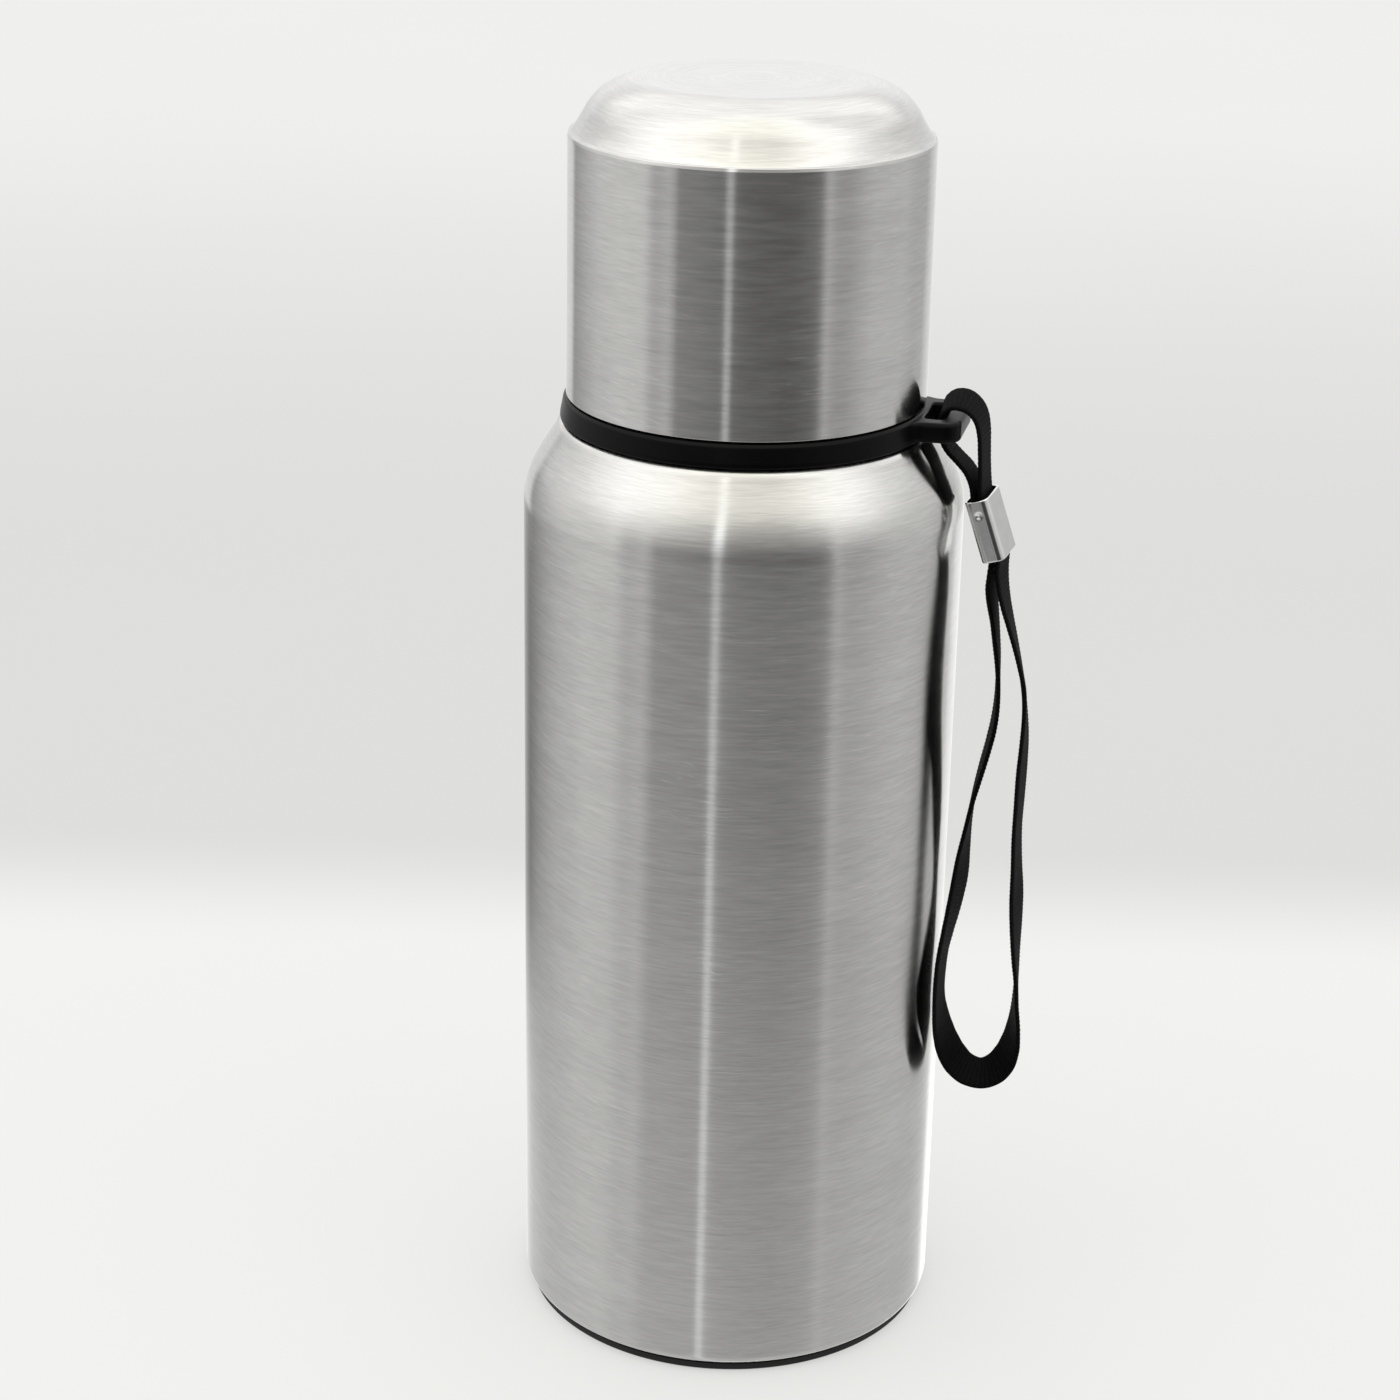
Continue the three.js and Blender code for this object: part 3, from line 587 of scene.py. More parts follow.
def webbing(name, route, nodes):
    """Flat woven strap: ribbed across, with a firmer selvedge down each edge."""
    half_w, half_t, pitch = 4.2, 0.45, 0.9
    c, W, N, s, total = route_frames(route, 0.16)
    # section from edge to edge, over the top and back under
    u = np.sin(np.linspace(-1, 1, 17) * math.pi / 2)
    u = 0.55 * u + 0.45 * np.linspace(-1, 1, 17)
    top = [(x, 1.0) for x in u]
    sec = top + [(x, -1.0) for x in u[::-1]]
    sec = [(x, sgn) for i, (x, sgn) in enumerate(sec) if not (abs(abs(x) - 1) < 1e-9 and sgn < 0)]
    k = len(sec)
    verts = np.zeros((len(s), k, 3))
    uv = np.zeros((len(s), k, 2))
    for j, (x, sgn) in enumerate(sec):
        ax = abs(x)
        body = half_t * (1 - ax ** 9) ** 0.5 if ax < 1 else 0.0
        body += 0.045 * math.exp(-((ax - 0.86) / 0.06) ** 2) * (ax < 1)
        fade = float(np.clip((0.97 - ax) / 0.12, 0, 1))
        # ribs stand half a pitch apart on the two faces, and lean a little across the width
        rib = np.cos(TAU * (s / pitch + 0.08 * x) + (0 if sgn > 0 else math.pi))
        ends = np.cos(TAU * x * half_w / 0.94)
        h = body + fade * (0.045 * rib + 0.012 * ends)
        wander = 1 + 0.006 * np.sin(s * 1.7 + 2 * x) + 0.004 * np.sin(s * 0.53)
        verts[:, j] = c + W * (x * half_w * wander)[:, None] + N * (sgn * h)[:, None]
        uv[:, j, 0] = x * half_w + (0 if sgn > 0 else 20.0)
        uv[:, j, 1] = s
    verts = verts.reshape(-1, 3)
    uv = uv.reshape(-1, 2)
    faces = []
    for i in range(len(s) - 1):
        a, b = i * k, (i + 1) * k
        for j in range(k):
            q = (j + 1) % k
            faces.append((a + j, a + q, b + q, b + j))
    for end, ring in ((0, 0), (1, len(s) - 1)):
        mid = len(verts)
        verts = np.vstack([verts, c[ring]])
        uv = np.vstack([uv, [0, s[ring]]])
        for j in range(k):
            q = (j + 1) % k
            faces.append((mid, ring * k + q, ring * k + j) if end == 0 else (mid, ring * k + j, ring * k + q))
    ob = make(name, verts, faces, WEB, "strap", nodes, uvs=uv)
    return ob, c, total


# ------------------------------------------------------------------ cords: the two loops of the wrist strap
def ferrule():
    """Crimped flat tube: rolled lips, a press mark on each wide face, a centre-punch dimple and the closing seam."""
    top, bottom = at(47.7, 0, 181.9), at(51.8, 0, 169.8)
    axis = (top - bottom) / np.linalg.norm(top - bottom)
    side = np.cross(V, axis)
    side /= np.linalg.norm(side)
    a = math.radians(8)
    wide = V * math.cos(a) + side * math.sin(a)
    thin = np.cross(axis, wide)
    L, WALL = 12.8, 0.5
    n = 176

    def loop(w, t, rc):
        x, y = w / 2 - rc, t / 2 - rc
        seg = [("l", (-x, -t / 2), (x, -t / 2)), ("a", (x, -y), -90), ("l", (w / 2, -y), (w / 2, y)), ("a", (x, y), 0),
               ("l", (x, t / 2), (-x, t / 2)), ("a", (-x, y), 90), ("l", (-w / 2, y), (-w / 2, -y)), ("a", (-x, -y), 180)]
        pts = []
        for s in seg:
            if s[0] == "l":
                k = 34 if abs(s[1][0] - s[2][0]) > abs(s[1][1] - s[2][1]) else 8
                pts += [(s[1][0] + (s[2][0] - s[1][0]) * i / k, s[1][1] + (s[2][1] - s[1][1]) * i / k) for i in range(k)]
            else:
                k = 26
                pts += [(s[1][0] + rc * math.cos(math.radians(s[2] + 90 * i / k)), s[1][1] + rc * math.sin(math.radians(s[2] + 90 * i / k))) for i in range(k)]
        return np.array(pts)

    # one ring per row: distance along the axis, and how far between the inner (0) and outer (1) outline
    rows = []
    e = 0.25
    for i in range(9):
        q = math.radians(180 - 180 * i / 8)   # bottom lip, from inner to outer
        rows.append((e - e * math.sin(q), 0.5 + 0.5 * math.cos(q)))
    rows = [(0.25 - 0.25 * math.sin(math.pi * i / 8), 0.5 - 0.5 * math.cos(math.pi * i / 8)) for i in range(9)]
    body_rows = np.linspace(0.25, L - 0.25, 86)[1:-1]
    rows += [(float(v), 1.0) for v in body_rows]
    rows += [(L - 0.25 + 0.25 * math.sin(math.pi * i / 8), 0.5 + 0.5 * math.cos(math.pi * i / 8)) for i in range(9)]
    rows += [(float(v), 0.0) for v in body_rows[::-1]]
    outer, inner = loop(10.4, 5.0, 1.7), loop(9.4, 4.0, 1.2)
    k = len(outer)
    verts = np.zeros((len(rows), k, 3))
    nrm_o = np.roll(outer, -1, 0) - np.roll(outer, 1, 0)
    nrm_o = np.stack([nrm_o[:, 1], -nrm_o[:, 0]], 1)
    nrm_o /= np.linalg.norm(nrm_o, axis=1)[:, None]
    for i, (d, o) in enumerate(rows):
        q = inner + (outer - inner) * o
        # press marks: two shallow bars across each wide face
        X, Y = q[:, 0], q[:, 1]
        flat = smooth01((3.6 - np.abs(X)) / 1.2) * (np.abs(Y) > 1.6)
        bars = sum(math.exp(-((d - c0) / 0.55) ** 2) for c0 in (4.1, 8.7))
        dent = 0.03 * flat * bars
        # centre-punch dimple on the narrow face turned to -wide
        r2 = (Y / 0.62) ** 2 + ((d - 9.7) / 0.62) ** 2
        punch = np.where(X < -4.3, 0.30 * np.exp(-r2 * 1.4) * (o > 0.2), 0.0)
        # closing seam down the wide face turned to +thin
        seam = np.where(Y > 1.6, 0.16 * np.exp(-((X - 0.4) / 0.10) ** 2) * (o > 0.6), 0.0)
        # the press marks, dimple and seam are pressed in along the outline's normals; the tube is hand-crimped
        q = q - nrm_o * (dent + punch + seam)[:, None]
        verts[i] = bottom + wide * q[:, :1] + thin * q[:, 1:] + axis * d
    verts = verts.reshape(-1, 3)
    faces = []
    for i in range(len(rows)):
        a_, b_ = i * k, ((i + 1) % len(rows)) * k
        for j in range(k):
            q = (j + 1) % k
            faces.append((a_ + j, a_ + q, b_ + q, b_ + j))
    return make("ferrule", verts, faces, PLATE, "strap", ["strap_ferrule"])


fer = ferrule()
lug_loop, lug_path, lug_len = webbing("webbing_lug_loop", LUG_LOOP, ["strap_lug_loop"])
hand_loop, hand_path, hand_len = webbing("webbing_hand_loop", HAND_LOOP, ["strap_hand_loop"])
print("cord lengths mm", round(lug_len, 1), round(hand_len, 1))

# ------------------------------------------------------------------ outer shell
foot = spline([(42.4, 2.1), (43.15, 2.3), (43.75, 2.9), (44.0, 3.9)], (1, 0.05), (0, 1), 0.18)
shoulder = spline([(44.0, 177.0), (43.78, 179.5), (43.21, 181.9), (42.3, 184.2), (41.0, 186.6), (39.45, 189.1), (38.0, 191.4),
                   (37.2, 192.7), (36.6, 193.2), (35.8, 193.4)], (0, 1), (-1, 0), 0.45)
wall = [(44.0, z) for z in np.concatenate([[4.3, 5.5], np.linspace(11, 170, 22), [174.5, 176.3]])]
neck = rounded([(35.3, 193.4), (30.0, 193.4, 0.6), (30.0, 217.0, 0.2), (29.0, 217.0, 0.2), (29.0, 192.4, 0.6), (35.2, 192.4)], closed=False, most=0.36)
inner = spline([(35.5, 192.4), (36.3, 191.9), (37.9, 189.3), (39.9, 186.2), (41.3, 183.6), (42.5, 180.6), (43.0, 177.0)], (1, 0), (0, -1), 1.2)
shell_path = foot + wall + shoulder + neck + inner + [(43.0, 90.0), (43.0, 4.6)] + spline([(43.0, 4.0), (42.8, 3.3), (42.4, 3.1)], (0, -1), (-1, 0), 0.25)
turned("flask_shell", shell_path, STEEL, "flask", "steel_brushed", "outer_shell", segs=288,
       relief=thread_relief(1.6, 203.2, 1.3, where=lambda R, Z: (np.abs(R - 30.0) < 0.02) & (Z > 200) & (Z < 213)))

# ------------------------------------------------------------------ base: pressed disc, sealing bead and foot ring
turned("base_disc", rounded([(0, 4.4), (11.4, 4.4, 1.0), (13.4, 3.5, 1.0), (24.6, 3.5, 0.5), (25.1, 3.72, 0.5), (26.4, 3.72, 0.5), (26.9, 3.5, 0.5), (42.25, 3.5, 0.25), (42.25, 4.3, 0.25),
                            (14, 4.3, 1.0), (12, 5.2, 1.0), (0, 5.2)], closed=False, most=2.5),
       STEEL_BASE, "flask", "steel_bright", "base_plate", segs=192)
turned("sealing_bead", [(0, 1.9)] + spline([(0.6, 1.9), (2.0, 2.0), (3.2, 2.35), (3.85, 3.1), (4.0, 3.8)], (1, 0), (0, 1), 0.2) + [(3.95, 4.02), (3.7, 4.05), (2.0, 4.05), (0, 4.05)],
       PLATE, "flask", "steel_bright", "vacuum_seal", segs=64,
       relief=lambda R, Z, T: 0.10 * np.sin(3 * T + 0.7) * smooth01((R - 0.8) / 1.5) + 0.06 * np.sin(7 * T) * smooth01((R - 1.5) / 1.5))
# foot ring: black rubber, whose black also stands in for the shadow line under the base's rounded edge, so partly
# painted shade
turned("foot_pad_ring", rounded([(35, 0.0, 0.35), (37.6, 0.0, 0.15), (37.9, 0.35, 0.15), (39.1, 0.35, 0.15), (39.4, 0.0, 0.15), (42.3, 0.0, 0.35), (42.7, 0.4, 0.3), (42.7, 1.6, 0.2), (42.05, 1.8, 0.15),
                                 (42.05, 3.15, 0.2), (35, 3.15, 0.4)], most=1.5),
       RUBBER_AND_PAINTED_SHADE, "flask", "black_rubber", "foot_ring", segs=224)

# ------------------------------------------------------------------ inner vessel, mouth ring, foil and getter
vessel_out = spline([(0.001, 8.0), (20, 7.3), (34, 7.7), (38.6, 9.8), (40.3, 13), (40.5, 17)], (1, 0), (0, 1), 1.2)
vessel_top = spline([(40.5, 172.5), (39.6, 177), (37.2, 181.8), (33.6, 186), (29.4, 188.6), (27.0, 190.2), (26.6, 191.58)], (0, 1), (0, 1), 0.9)
vessel_in = spline([(25.6, 191.58), (26.2, 189.8), (29.0, 187.9), (33.0, 185.4), (36.5, 181.3), (38.8, 176.7), (39.7, 172.3)], (0, -1), (0, -1), 0.9)
vessel_bot = spline([(39.7, 17.2), (39.5, 13.4), (38.0, 10.6), (33.8, 8.6), (20, 8.1), (0.001, 8.8)], (0, -1), (-1, 0), 1.2)
turned("inner_vessel", [(0, 8.0)] + vessel_out[1:] + [(40.5, z) for z in np.linspace(28, 168, 13)] + vessel_top + vessel_in
       + [(39.7, z) for z in np.linspace(168, 28, 13)] + vessel_bot[:-1] + [(0, 8.8)],
       STEEL_IN, "flask", "steel_satin", "inner_liner", segs=192)
turned("mouth_collar", rounded([(26.6, 191.62), (26.6, 199, 0.6), (27.4, 200, 0.6), (27.4, 217.3, 0.3), (30.0, 217.3, 0.2), (30.4, 217.8, 0.35), (30.0, 218.6, 0.5), (27.3, 218.9, 0.9),
                                (26.5, 218.2, 0.6), (26.5, 200.5, 0.4), (25.6, 199.8, 0.4), (25.6, 191.62)], most=0.36),
       STEEL_IN, "flask", "steel_satin", "mouth_ring", segs=224,
       relief=thread_relief(-0.6, 203.2, 1.3, math.pi, where=lambda R, Z: (np.abs(R - 26.5) < 0.02) & (Z > 201) & (Z < 213)))
rng = np.random.default_rng(7)
wrinkle = rng.uniform(0, TAU, 6)
turned("copper_foil", rounded([(41.0, 14), (41.35, 14), (41.35, 170), (41.0, 170)], most=3.0), FOIL, "flask", "copper_foil", "radiation_foil", segs=160,
       relief=lambda R, Z, T: 0.06 * np.sin(9 * T + Z * 0.21 + wrinkle[0]) * np.sin(Z * 0.13 + 2 * T + wrinkle[1]))
turned("getter_pellet", rounded([(0, 5.55), (5, 5.55, 0.5), (5, 7.4, 0.5), (0, 7.4)], closed=False, most=0.5), GETTER, "flask", "getter_grey", "getter", segs=64,
       relief=lambda R, Z, T: 0.05 * np.sin(23 * T + 3 * Z) * smooth01((R - 2) / 3))


# ------------------------------------------------------------------ collar with the strap lug
def lug_plate(count=288):
    """The lug as a ring of sections between its outline and its slot, in the lug's own frame (rho, t)."""
    outer = rounded([(31.6, -12.2), (36.4, -9.75, 3.0), (43.9, -9.2, 3.7), (43.9, 9.2, 3.7), (36.4, 9.75, 3.0), (31.6, 12.2)], step=5, guard=0.3)
    slot = rounded([(36.5, -5.7, 0.9), (40.35, -6.0, 1.4), (40.35, 6.0, 1.4), (36.5, 5.7, 0.9)], step=8, guard=0.2)
    centre = np.array((38.5, 0.0))

    def hit(poly, ang):
        d = np.array((math.cos(ang), math.sin(ang)))
        best = None
        for i in range(len(poly)):
            a, b = np.array(poly[i]) - centre, np.array(poly[(i + 1) % len(poly)]) - centre
            e = b - a
            den = d[0] * e[1] - d[1] * e[0]
            if abs(den) < 1e-12:
                continue
            t = (a[0] * e[1] - a[1] * e[0]) / den
            s = (a[0] * d[1] - a[1] * d[0]) / den
            if t > 0 and -1e-9 <= s <= 1 + 1e-9 and (best is None or t > best):
                best = t
        return centre + d * best

    # even spacing round the outline rather than in angle, so that the corners are smooth
    angs = np.linspace(0, TAU, 1440, endpoint=False)
    pts = np.array([hit(outer, a) for a in angs])
    seg = np.linalg.norm(np.roll(pts, -1, 0) - pts, axis=1)
    cum = np.concatenate([[0], np.cumsum(seg)])
    want = np.linspace(0, cum[-1], count, endpoint=False)
    angs = np.interp(want, cum, np.concatenate([angs, [TAU]]))
    z0, z1, b, e = 194.0, 198.0, 0.9, 0.7
    verts, k = [], 0
    for a in angs:
        po, pi = hit(outer, a), hit(slot, a)
        d = (pi - po) / np.linalg.norm(pi - po)
        ring = []
        for i in range(7):          # outer edge, from under to side
            q = math.pi / 2 * i / 6
            ring.append((b * (1 - math.sin(q)), z0 + b * (1 - math.cos(q))))
        for i in range(7):          # side to top
            q = math.pi / 2 * i / 6
            ring.append((b * (1 - math.cos(q)), z1 - b * (1 - math.sin(q))))
        full = np.linalg.norm(pi - po)
        for s in (0.12, 0.35, 0.65, 0.88):
            ring.append((b + (full - b - e) * s, z1))
        for i in range(6):
            q = math.pi / 2 * i / 5
            ring.append((full - e * (1 - math.sin(q)), z1 - e * (1 - math.cos(q))))
        for i in range(6):
            q = math.pi / 2 * i / 5
            ring.append((full - e * (1 - math.cos(q)), z0 + e * (1 - math.sin(q))))
        for s in (0.88, 0.65, 0.35, 0.12):
            ring.append((b + (full - b - e) * s, z0))
        k = len(ring)
        for off, z in ring:
            p = po + d * off
            verts.append(U * p[0] + V * p[1] + ZUP * z)
    faces = []
    for i in range(count):
        a, c = i * k, ((i + 1) % count) * k
        for j in range(k):
            q = (j + 1) % k
            faces.append((a + j, a + q, c + q, c + j))
    return np.array(verts), faces


ring_path = rounded([(30.5, 193.75, 0.35), (36.8, 193.75, 0.35), (36.75, 194.7, 0.6), (36.15, 197.8, 0.6), (35.6, 198.35, 0.35), (30.5, 198.35, 0.35)], most=1.2, step=9)
collar = turned("neck_collar", ring_path, BLACK, "collar", "black_plastic", "strap_collar", segs=288)
cut(collar, [lug_plate()], "UNION")
finish_piece(collar, BLACK, "collar", ())

# ------------------------------------------------------------------ cup
dome = spline([(34.7, 250.3), (33.72, 251.75), (32.8, 253.3), (31.85, 254.95), (30.75, 256.35), (29.3, 257.75), (27.2, 259.0), (25.0, 259.9), (23.2, 260.3), (21.7, 260.4)], (-0.75, 1), (-1, 0), 0.4)
lip = rounded([(35.51, 248.2), (35.5, 249.25, 0.35), (35.3, 249.92, 0.3), (34.98, 250.0, 0.2), (34.7, 250.3)], closed=False, step=12, guard=0.08)
cup_wall = [(35.65 - 0.15 * (z - 198.7) / 50.5, z) for z in np.linspace(203, 245, 10)]
edge = rounded([(34.85, 201.5), (34.85, 198.75, 0.3), (35.25, 198.7, 0.3), (35.65, 198.75, 0.35), (35.645, 201.0)], closed=False, step=15, guard=0.1)
roof = spline([(21.6, 259.7), (24.2, 259.3), (26.7, 258.4), (28.9, 257.1), (31.3, 254.6), (32.9, 251.2), (33.2, 250.2), (34.1, 249.3), (34.75, 248.5), (34.85, 246.0)], (1, 0), (0, -1), 0.7)
cup_path = edge + cup_wall + lip[:-1] + dome + [(20.5, 260.4), (14, 260.4), (7, 260.4), (2, 260.4), (0, 260.4)]
cup_path = cup_path[::-1]
cup_path = cup_path + [(34.85, 215.0), (34.85, 230.0)] + [(r, z) for r, z in roof[::-1]] + [(12, 259.7), (0, 259.7)]
turned("drinking_cup", cup_path, STEEL_CUP, "cup", "steel_brushed", "cup_shell", segs=288)

liner_out = spline([(34.38, 247.8), (33.6, 248.9), (32.7, 249.9), (30.9, 254.2), (28.5, 256.7), (26.3, 258.0), (23.9, 258.9), (18.0, 259.15)], (0, 1), (-1, 0.04), 0.8)
liner_in = spline([(20.0, 257.55), (23.4, 257.4), (25.5, 256.6), (27.7, 255.0), (29.7, 252.4), (31.3, 249.0), (32.0, 246.5)], (1, -0.02), (0, -1), 0.6)
turned("cup_lining", [(0, 259.3), (9, 259.25)] + liner_out[::-1] + [(34.39, 235.0)] + rounded([(34.4, 224), (34.4, 221.82, 0.3), (32.0, 221.82, 0.4), (32.0, 224)], closed=False)
       + [(32.0, z) for z in np.linspace(228, 244, 5)] + liner_in[::-1] + [(12, 257.62), (4, 257.69), (0, 257.7)],
       LINER, "cup", "liner_plastic", "cup_liner", segs=224)
turned("cup_thread_insert", rounded([(34.45, 199.3, 0.3), (34.4, 221.78, 0.3), (32.9, 221.78, 0.3), (32.9, 199.3, 0.5)], most=0.4),
       LINER, "cup", "liner_plastic", "cup_thread_ring", segs=224,
       relief=thread_relief(-0.92, 203.2, 1.3, math.pi, where=lambda R, Z: (np.abs(R - 32.9) < 0.02) & (Z > 200.5) & (Z < 213)))
turned("cup_seal", rounded([(31.0, 219.9, 0.45), (32.55, 219.9, 0.45), (32.55, 221.45, 0.45), (31.0, 221.45, 0.45)], most=0.5), SILICONE, "cup_carrier", "white_silicone", "cup_gasket", segs=192)

# ------------------------------------------------------------------ stopper
turned("stopper_plug", rounded([(8, 190, 0.3), (24.0, 190, 0.6), (24.6, 190.8, 0.4), (24.6, 194.0, 0.3), (23.6, 194.0, 0.2), (23.6, 197.0, 0.2), (24.6, 197.0, 0.3), (24.6, 220.7, 0.3),
                                (29.3, 220.7, 0.2), (29.6, 221.1, 0.2), (29.6, 223.2, 0.3), (29.3, 223.5, 0.2), (17, 223.5, 0.3), (17, 193, 0.6), (8, 193, 0.4)], most=0.4),
       BLACK, "stopper", "black_plastic", "stopper_body", segs=224,
       relief=thread_relief(0.9, 203.2, 1.3, where=lambda R, Z: (np.abs(R - 24.6) < 0.02) & (Z > 200) & (Z < 213)))
turned("rim_seal", rounded([(26.9, 219.2, 0.35), (29.2, 219.2, 0.35), (29.2, 220.4, 0.35), (26.9, 220.4, 0.35)], most=0.5), SILICONE, "stopper_carrier", "white_silicone", "rim_gasket", segs=192)
turned("plug_seal", rounded([(23.9, 194.3, 0.2), (25.3, 195.0, 0.4), (25.3, 196.0, 0.4), (23.9, 196.7, 0.2)], most=0.4), SILICONE, "stopper", "white_silicone", "plug_gasket", segs=192)

spider = turned("valve_spider", rounded([(2.9, 207.5, 0.2), (16.65, 207.5, 0.25), (16.65, 209.5, 0.25), (2.9, 209.5, 0.2)], most=1.5), WHITE, "stopper", "white_plastic", "valve_guide", segs=144)
holes = []
for k in range(6):
    a = (k + 0.5) * math.pi / 3
    cx, cy = 11.6 * math.cos(a), 11.6 * math.sin(a)
    holes.append(prism([(cx + 3 * math.cos(t), cy + 3 * math.sin(t)) for t in np.linspace(0, TAU, 40, endpoint=False)], 205.0, 212.0))
cut(spider, holes)
finish_piece(spider, WHITE, "stopper", ())


def flutes(R, Z, T):
    """Finger grip: shallow flutes round the cover's skirt, fading out at the top and bottom."""
    on = (R > 28.6) & (Z > 224.3)
    fade = smooth01((Z - 224.8) / 1.2) * smooth01((233.4 - Z) / 1.6)
    return np.where(on, -0.42 * fade * (0.5 - 0.5 * np.cos(40 * T)) ** 1.6, 0.0)


cover = turned("stopper_top", rounded([(26.3, 223.8, 0.25), (28.9, 223.8, 0.4), (29.2, 225.2, 0.8), (28.9, 233.2, 2.0), (27.6, 235.3, 2.0), (25.6, 236.0, 2.0), (14.2, 236.2, 0.8), (13.3, 235.4, 0.5),
                                       (13.3, 231.8, 0.25), (26.3, 231.8, 0.4)], most=0.9, step=9),
               BLACK, "stopper", "black_plastic", "stopper_cover", segs=320, relief=flutes)
gap = rounded([(224.0, -6.5, 0.01), (229.2, -6.5, 1.6), (229.2, 6.5, 1.6), (224.0, 6.5, 0.01)], step=10, guard=0.3)
gv = [(22.0, y, z - (0.6 if z < 225 else 0)) for z, y in gap] + [(34.0, y, z - (0.6 if z < 225 else 0)) for z, y in gap]
gn = len(gap)
cut(cover, [(gv, [tuple(range(gn)), tuple(reversed(range(gn, 2 * gn)))] + [(i, (i + 1) % gn, gn + (i + 1) % gn, gn + i) for i in range(gn)])])
finish_piece(cover, BLACK, "stopper", ())

crown = spline([(11.9, 238.42), (9.0, 238.72), (5.0, 238.87), (0.001, 238.9)], (-1, 0.06), (-1, 0), 0.5)
turned("button_cap", rounded([(0, 236.6), (11.0, 236.2, 0.4), (11.0, 226.4, 0.2), (12.7, 226.4, 0.3), (12.7, 229.9, 0.2), (14.6, 229.9, 0.2), (14.6, 231.4, 0.2), (12.8, 231.4, 0.2), (12.8, 237.6, 0.9),
                              (11.9, 238.42)], closed=False, most=0.8)[:-1] + crown[:-1] + [(0, 238.9)],
       GREY, "button", "grey_plastic", "push_button", segs=192,
       relief=lambda R, Z, T: np.zeros_like(R))
turned("valve_rod", rounded([(0, 188.0), (2.4, 188.0, 0.3), (2.4, 236.0, 0.3), (0, 236.0)], closed=False, most=4.0), WHITE, "button", "white_plastic", "valve_stem", segs=64)
turned("valve_disc", rounded([(0, 185.0), (9.6, 185.0, 0.4), (10.8, 186.2, 0.4), (10.8, 187.7, 0.3), (0, 187.7)], closed=False, most=1.5), WHITE, "button", "white_plastic", "valve_plate", segs=128)
turned("valve_washer", rounded([(2.8, 188.05, 0.2), (11.6, 188.05, 0.3), (11.6, 189.0, 0.4), (11.0, 189.65, 0.3), (2.8, 189.65, 0.2)], most=1.2), SILICONE, "button", "white_silicone", "valve_seal", segs=128)


def spring():
    """Compression spring: six turns of round wire, with its ends cut square."""
    turns, z0, z1, r, wire = 6, 210.4, 235.4, 6.4, 0.55
    n, k = turns * 56 + 1, 14
    t = np.linspace(0, 1, n)
    a = t * turns * TAU
    c = np.stack([r * np.cos(a), r * np.sin(a), z0 + (z1 - z0) * t], 1)
    tan = np.gradient(c, axis=0)
    tan /= np.linalg.norm(tan, axis=1)[:, None]
    out = np.stack([np.cos(a), np.sin(a), np.zeros(n)], 1)
    up = np.cross(tan, out)
    ph = np.arange(k) * TAU / k
    v = (c[:, None, :] + wire * (np.cos(ph)[None, :, None] * out[:, None, :] + np.sin(ph)[None, :, None] * up[:, None, :])).reshape(-1, 3)
    f = [(i * k + j, i * k + (j + 1) % k, (i + 1) * k + (j + 1) % k, (i + 1) * k + j) for i in range(n - 1) for j in range(k)]
    for ring, flip in ((0, True), (n - 1, False)):
        mid = len(v)
        v = np.vstack([v, c[ring]])
        f += [((mid, ring * k + (j + 1) % k, ring * k + j) if flip else (mid, ring * k + j, ring * k + (j + 1) % k)) for j in range(k)]
    ob = make("return_spring", v, f, WIRE, None, ["button_spring"])
    return ob


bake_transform(spring())

# ------------------------------------------------------------------ stage: floor, light
floor_me = bpy.data.meshes.new("floor")
S = 9.0
floor_me.from_pydata([(-S, -S, 0), (S, -S, 0), (S, S, 0), (-S, S, 0)], [], [(0, 1, 2, 3)])
floor = bpy.data.objects.new("floor", floor_me)
floor.location.z = -0.00003
scene.collection.objects.link(floor)
fmat, nt, bsdf = new_material("floor")
pos = node(nt, "ShaderNodeTexCoord").outputs["Object"]
fy = node(nt, "ShaderNodeSeparateXYZ", {0: pos}).outputs[1]
mottle = noise(nt, pos, 3.0, 3.0, 0.5)
# painted light: the pale sweep's tone is painted as if lit evenly under the flask, falling off behind it and picking up
# again further back
tone = map_range(nt, fy, 0.15, 0.23, 1.0, 0.815, "SMOOTHSTEP")
tone = math_(nt, "ADD", tone, map_range(nt, fy, 0.45, 1.5, 0.0, 0.145, "SMOOTHSTEP"))
tone = math_(nt, "MULTIPLY", tone, map_range(nt, mottle, 0.3, 0.7, 0.995, 1.005))
lit = math_(nt, "MULTIPLY", tone, 0.30)
# painted light: the floor glows with emission in its own tone, which lifts it and weakens the shadows falling on it
painted_glow = math_(nt, "MULTIPLY", tone, 0.503)
feed(nt, bsdf, base=node(nt, "ShaderNodeCombineColor", {0: lit, 1: lit, 2: lit}).outputs[0], roughness=0.9, spec=0.0)
nt.links.new(node(nt, "ShaderNodeCombineColor", {0: painted_glow, 1: painted_glow, 2: math_(nt, "MULTIPLY", painted_glow, 0.985)}).outputs[0], bsdf.inputs["Emission Color"])
bsdf.inputs["Emission Strength"].default_value = 1.0
floor.data.materials.append(fmat)
# the floor shows to the camera and takes shadows, but the light below it stands in for its bounce
floor.visible_glossy = False
floor.visible_diffuse = False
floor.visible_transmission = False
floor.visible_shadow = False


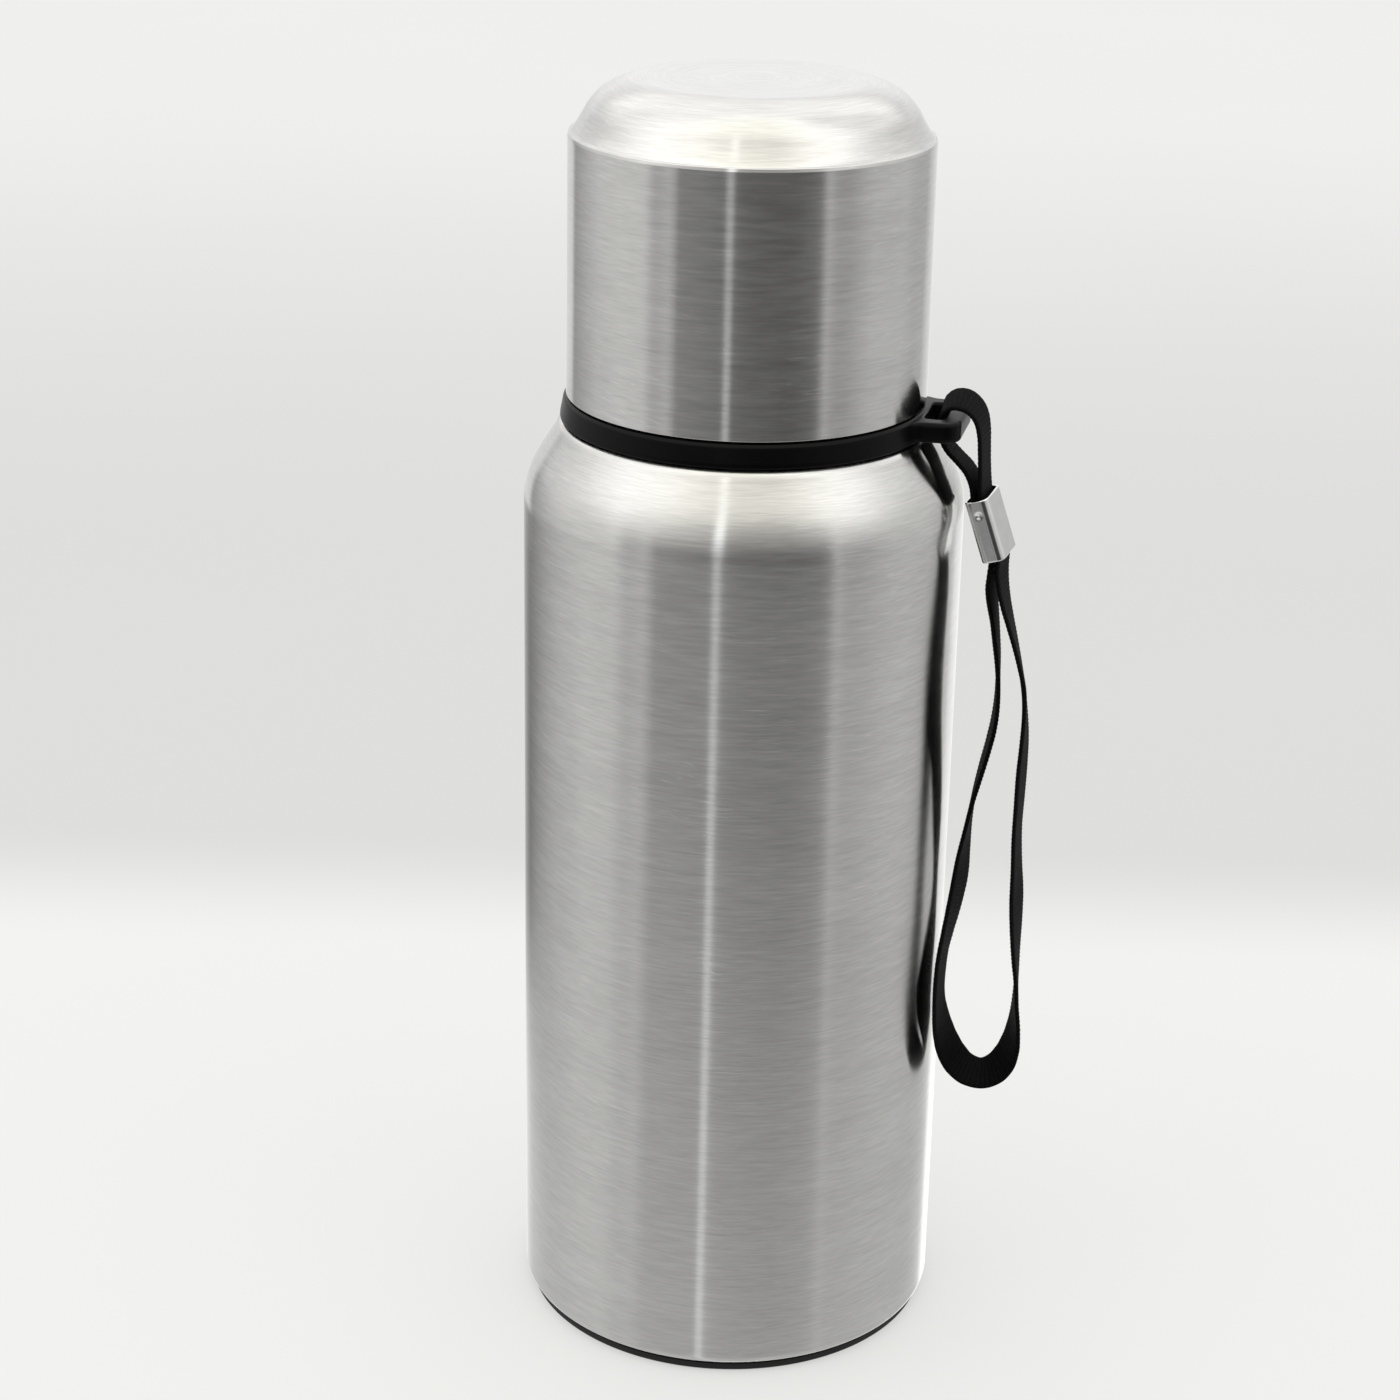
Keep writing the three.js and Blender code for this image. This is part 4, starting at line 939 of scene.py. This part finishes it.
def studio():
    """Soft surroundings: bright overhead and at the sides, a dim side behind the camera with a narrow lamp in it."""
    w = bpy.data.worlds.new("studio")
    scene.world = w
    w.use_nodes = True
    nt = w.node_tree
    nt.nodes.clear()
    d = node(nt, "ShaderNodeSeparateXYZ", {0: node(nt, "ShaderNodeTexCoord").outputs["Generated"]})
    x, y, z = d.outputs
    phi = math_(nt, "ARCTAN2", x, math_(nt, "MULTIPLY", y, -1.0))          # 0 towards -Y, plus towards +X
    u = math_(nt, "MULTIPLY_ADD", phi, 1 / TAU, 0.5)
    el = math_(nt, "ARCSINE", z)                                          # radians above the horizon

    def around(*pairs):
        """Brightness round the room, as azimuth in degrees and level; kept at half level in the ramp."""
        return ramp(nt, u, [((a + 180) / 360, v * 0.5) for a, v in pairs])

    def between(lo, hi, kind="SMOOTHSTEP"):
        return map_range(nt, el, math.radians(lo), math.radians(hi), kind=kind)

    table = around((-180, 1.2), (-160, .86), (-145, .72), (-110, .68), (-80, .70), (-60, .68), (-40, .66), (0, .65), (24, .62), (44, .64), (60, .62), (100, .62), (125, .64), (138, .70),
                   (146, .85), (152, 1.35), (180, 1.4))
    edge = around((-180, .9), (-165, .48), (-150, .24), (-135, .34), (-115, .44), (-100, .57), (-88, .68), (-72, .64), (-60, .52), (-53, .52), (-49, .38), (-45, .27), (-20, .22), (0, .12), (24, .09), (40, .13),
                  (48, .25), (51.5, .52), (56, .45), (66, .50), (80, .57), (95, .64), (115, .56), (130, .52), (142, .70), (150, 1.0), (180, 1.1))
    room = around((-180, 1.0), (-165, .80), (-148, .82), (-141, .42), (-128, .55), (-108, .78), (-90, .82), (-68, .78), (-61, .46), (-56, .50), (-50.5, .58), (-46.5, .40), (-44.5, .20), (-25, .14),
                  (-8, .09), (8, .05), (30, .045), (40, .09), (44, .16), (47, .45), (49.5, .53), (52, .42), (57, .35), (64, .37), (72, .48), (82, .60), (110, .66), (124, .57), (140, .54), (150, .74),
                  (165, .85), (180, 1.0))
    rise = around((-180, 1.12), (-165, 1.09), (-150, 1.0), (-125, .90), (-108, .94), (-88, .98), (-70, 1.06), (-61, .92), (-40, .74), (-20, .58), (0, .42), (25, .44), (42, .60), (50, .86), (90, .80), (108, .78),
                  (125, .85), (145, .92), (165, 1.06), (180, 1.12))
    top = around((-180, 1.38), (-165, 1.42), (-148, 1.6), (-128, 1.35), (-112, 1.35), (-98, 1.52), (-80, 1.72), (-50, 1.74), (-25, 1.58), (0, 1.44), (18, 1.44), (36, 1.58), (52, 1.74), (72, 1.70), (86, 1.4), (98, 1.2), (125, 1.2),
                 (148, 1.55), (165, 1.42), (180, 1.38))
    c = mix_rgb(nt, between(-29.5, -24), table, edge)
    c = mix_rgb(nt, between(-18.5, -14.5), c, room)
    c = mix_rgb(nt, between(-4, 14), c, rise)
    # overhead is a little warm towards the camera
    facing = math_(nt, "MULTIPLY", map_range(nt, math_(nt, "ABSOLUTE", math_(nt, "MULTIPLY", phi, 180 / math.pi)), 30.0, 95.0, 1.0, 0.0), between(14, 45))
    # the overhead light comes lower at the sides than in front
    aside = map_range(nt, math_(nt, "ABSOLUTE", phi), math.radians(18), math.radians(80), 0.0, math.radians(15), "SMOOTHSTEP")
    aside = math_(nt, "SUBTRACT", aside, map_range(nt, math_(nt, "ABSOLUTE", phi), math.radians(135), math.radians(170), 0.0, math.radians(9), "SMOOTHSTEP"))
    high = map_range(nt, math_(nt, "ADD", el, aside), math.radians(30), math.radians(49), kind="SMOOTHSTEP")
    c = mix_rgb(nt, high, c, top)
    c = mix_rgb(nt, between(64, 80), c, (.84, .84, .82))
    c = mix_rgb(nt, facing, c, mix_rgb(nt, 1.0, c, (1.0, .985, .915), "MULTIPLY"))
    # the lamp: a tall narrow strip to the left of the camera, stronger above
    lamp_at = map_range(nt, el, math.radians(-30), math.radians(-20), -14.6, -12.4)
    dphi = math_(nt, "ABSOLUTE", math_(nt, "SUBTRACT", math_(nt, "MULTIPLY", phi, 180 / math.pi), lamp_at))
    lamp = mix_rgb(nt, between(-19, -15), map_range(nt, dphi, 1.3, 2.4, 1.0, 0.0), map_range(nt, dphi, 0.6, 4.4, 1.0, 0.0, "SMOOTHSTEP"))
    lamp = math_(nt, "MULTIPLY", lamp, map_range(nt, el, math.radians(35), math.radians(50), 1.0, 0.0))
    power = mix_rgb(nt, between(-34, -22), (.36, .36, .36), (.58, .58, .58))
    power = mix_rgb(nt, between(-19, -13), power, (.19, .19, .19))
    power = mix_rgb(nt, between(-4, 12), power, (1.1, 1.1, 1.1))
    strength = math_(nt, "MULTIPLY", lamp, power)
    bg = node(nt, "ShaderNodeBackground", {0: c, 1: 2.0})
    lampbg = node(nt, "ShaderNodeBackground", {0: (0.95, 0.97, 1.0, 1.0), 1: strength})
    both = node(nt, "ShaderNodeAddShader", {0: bg.outputs[0], 1: lampbg.outputs[0]})
    plain = node(nt, "ShaderNodeBackground", {0: (0.80, 0.80, 0.79, 1.0), 1: 1.0})
    cam_ray = node(nt, "ShaderNodeLightPath").outputs["Is Camera Ray"]
    mixed = node(nt, "ShaderNodeMixShader", {0: cam_ray, 1: both.outputs[0], 2: plain.outputs[0]})
    node(nt, "ShaderNodeOutputWorld", {0: mixed.outputs[0]})


studio()
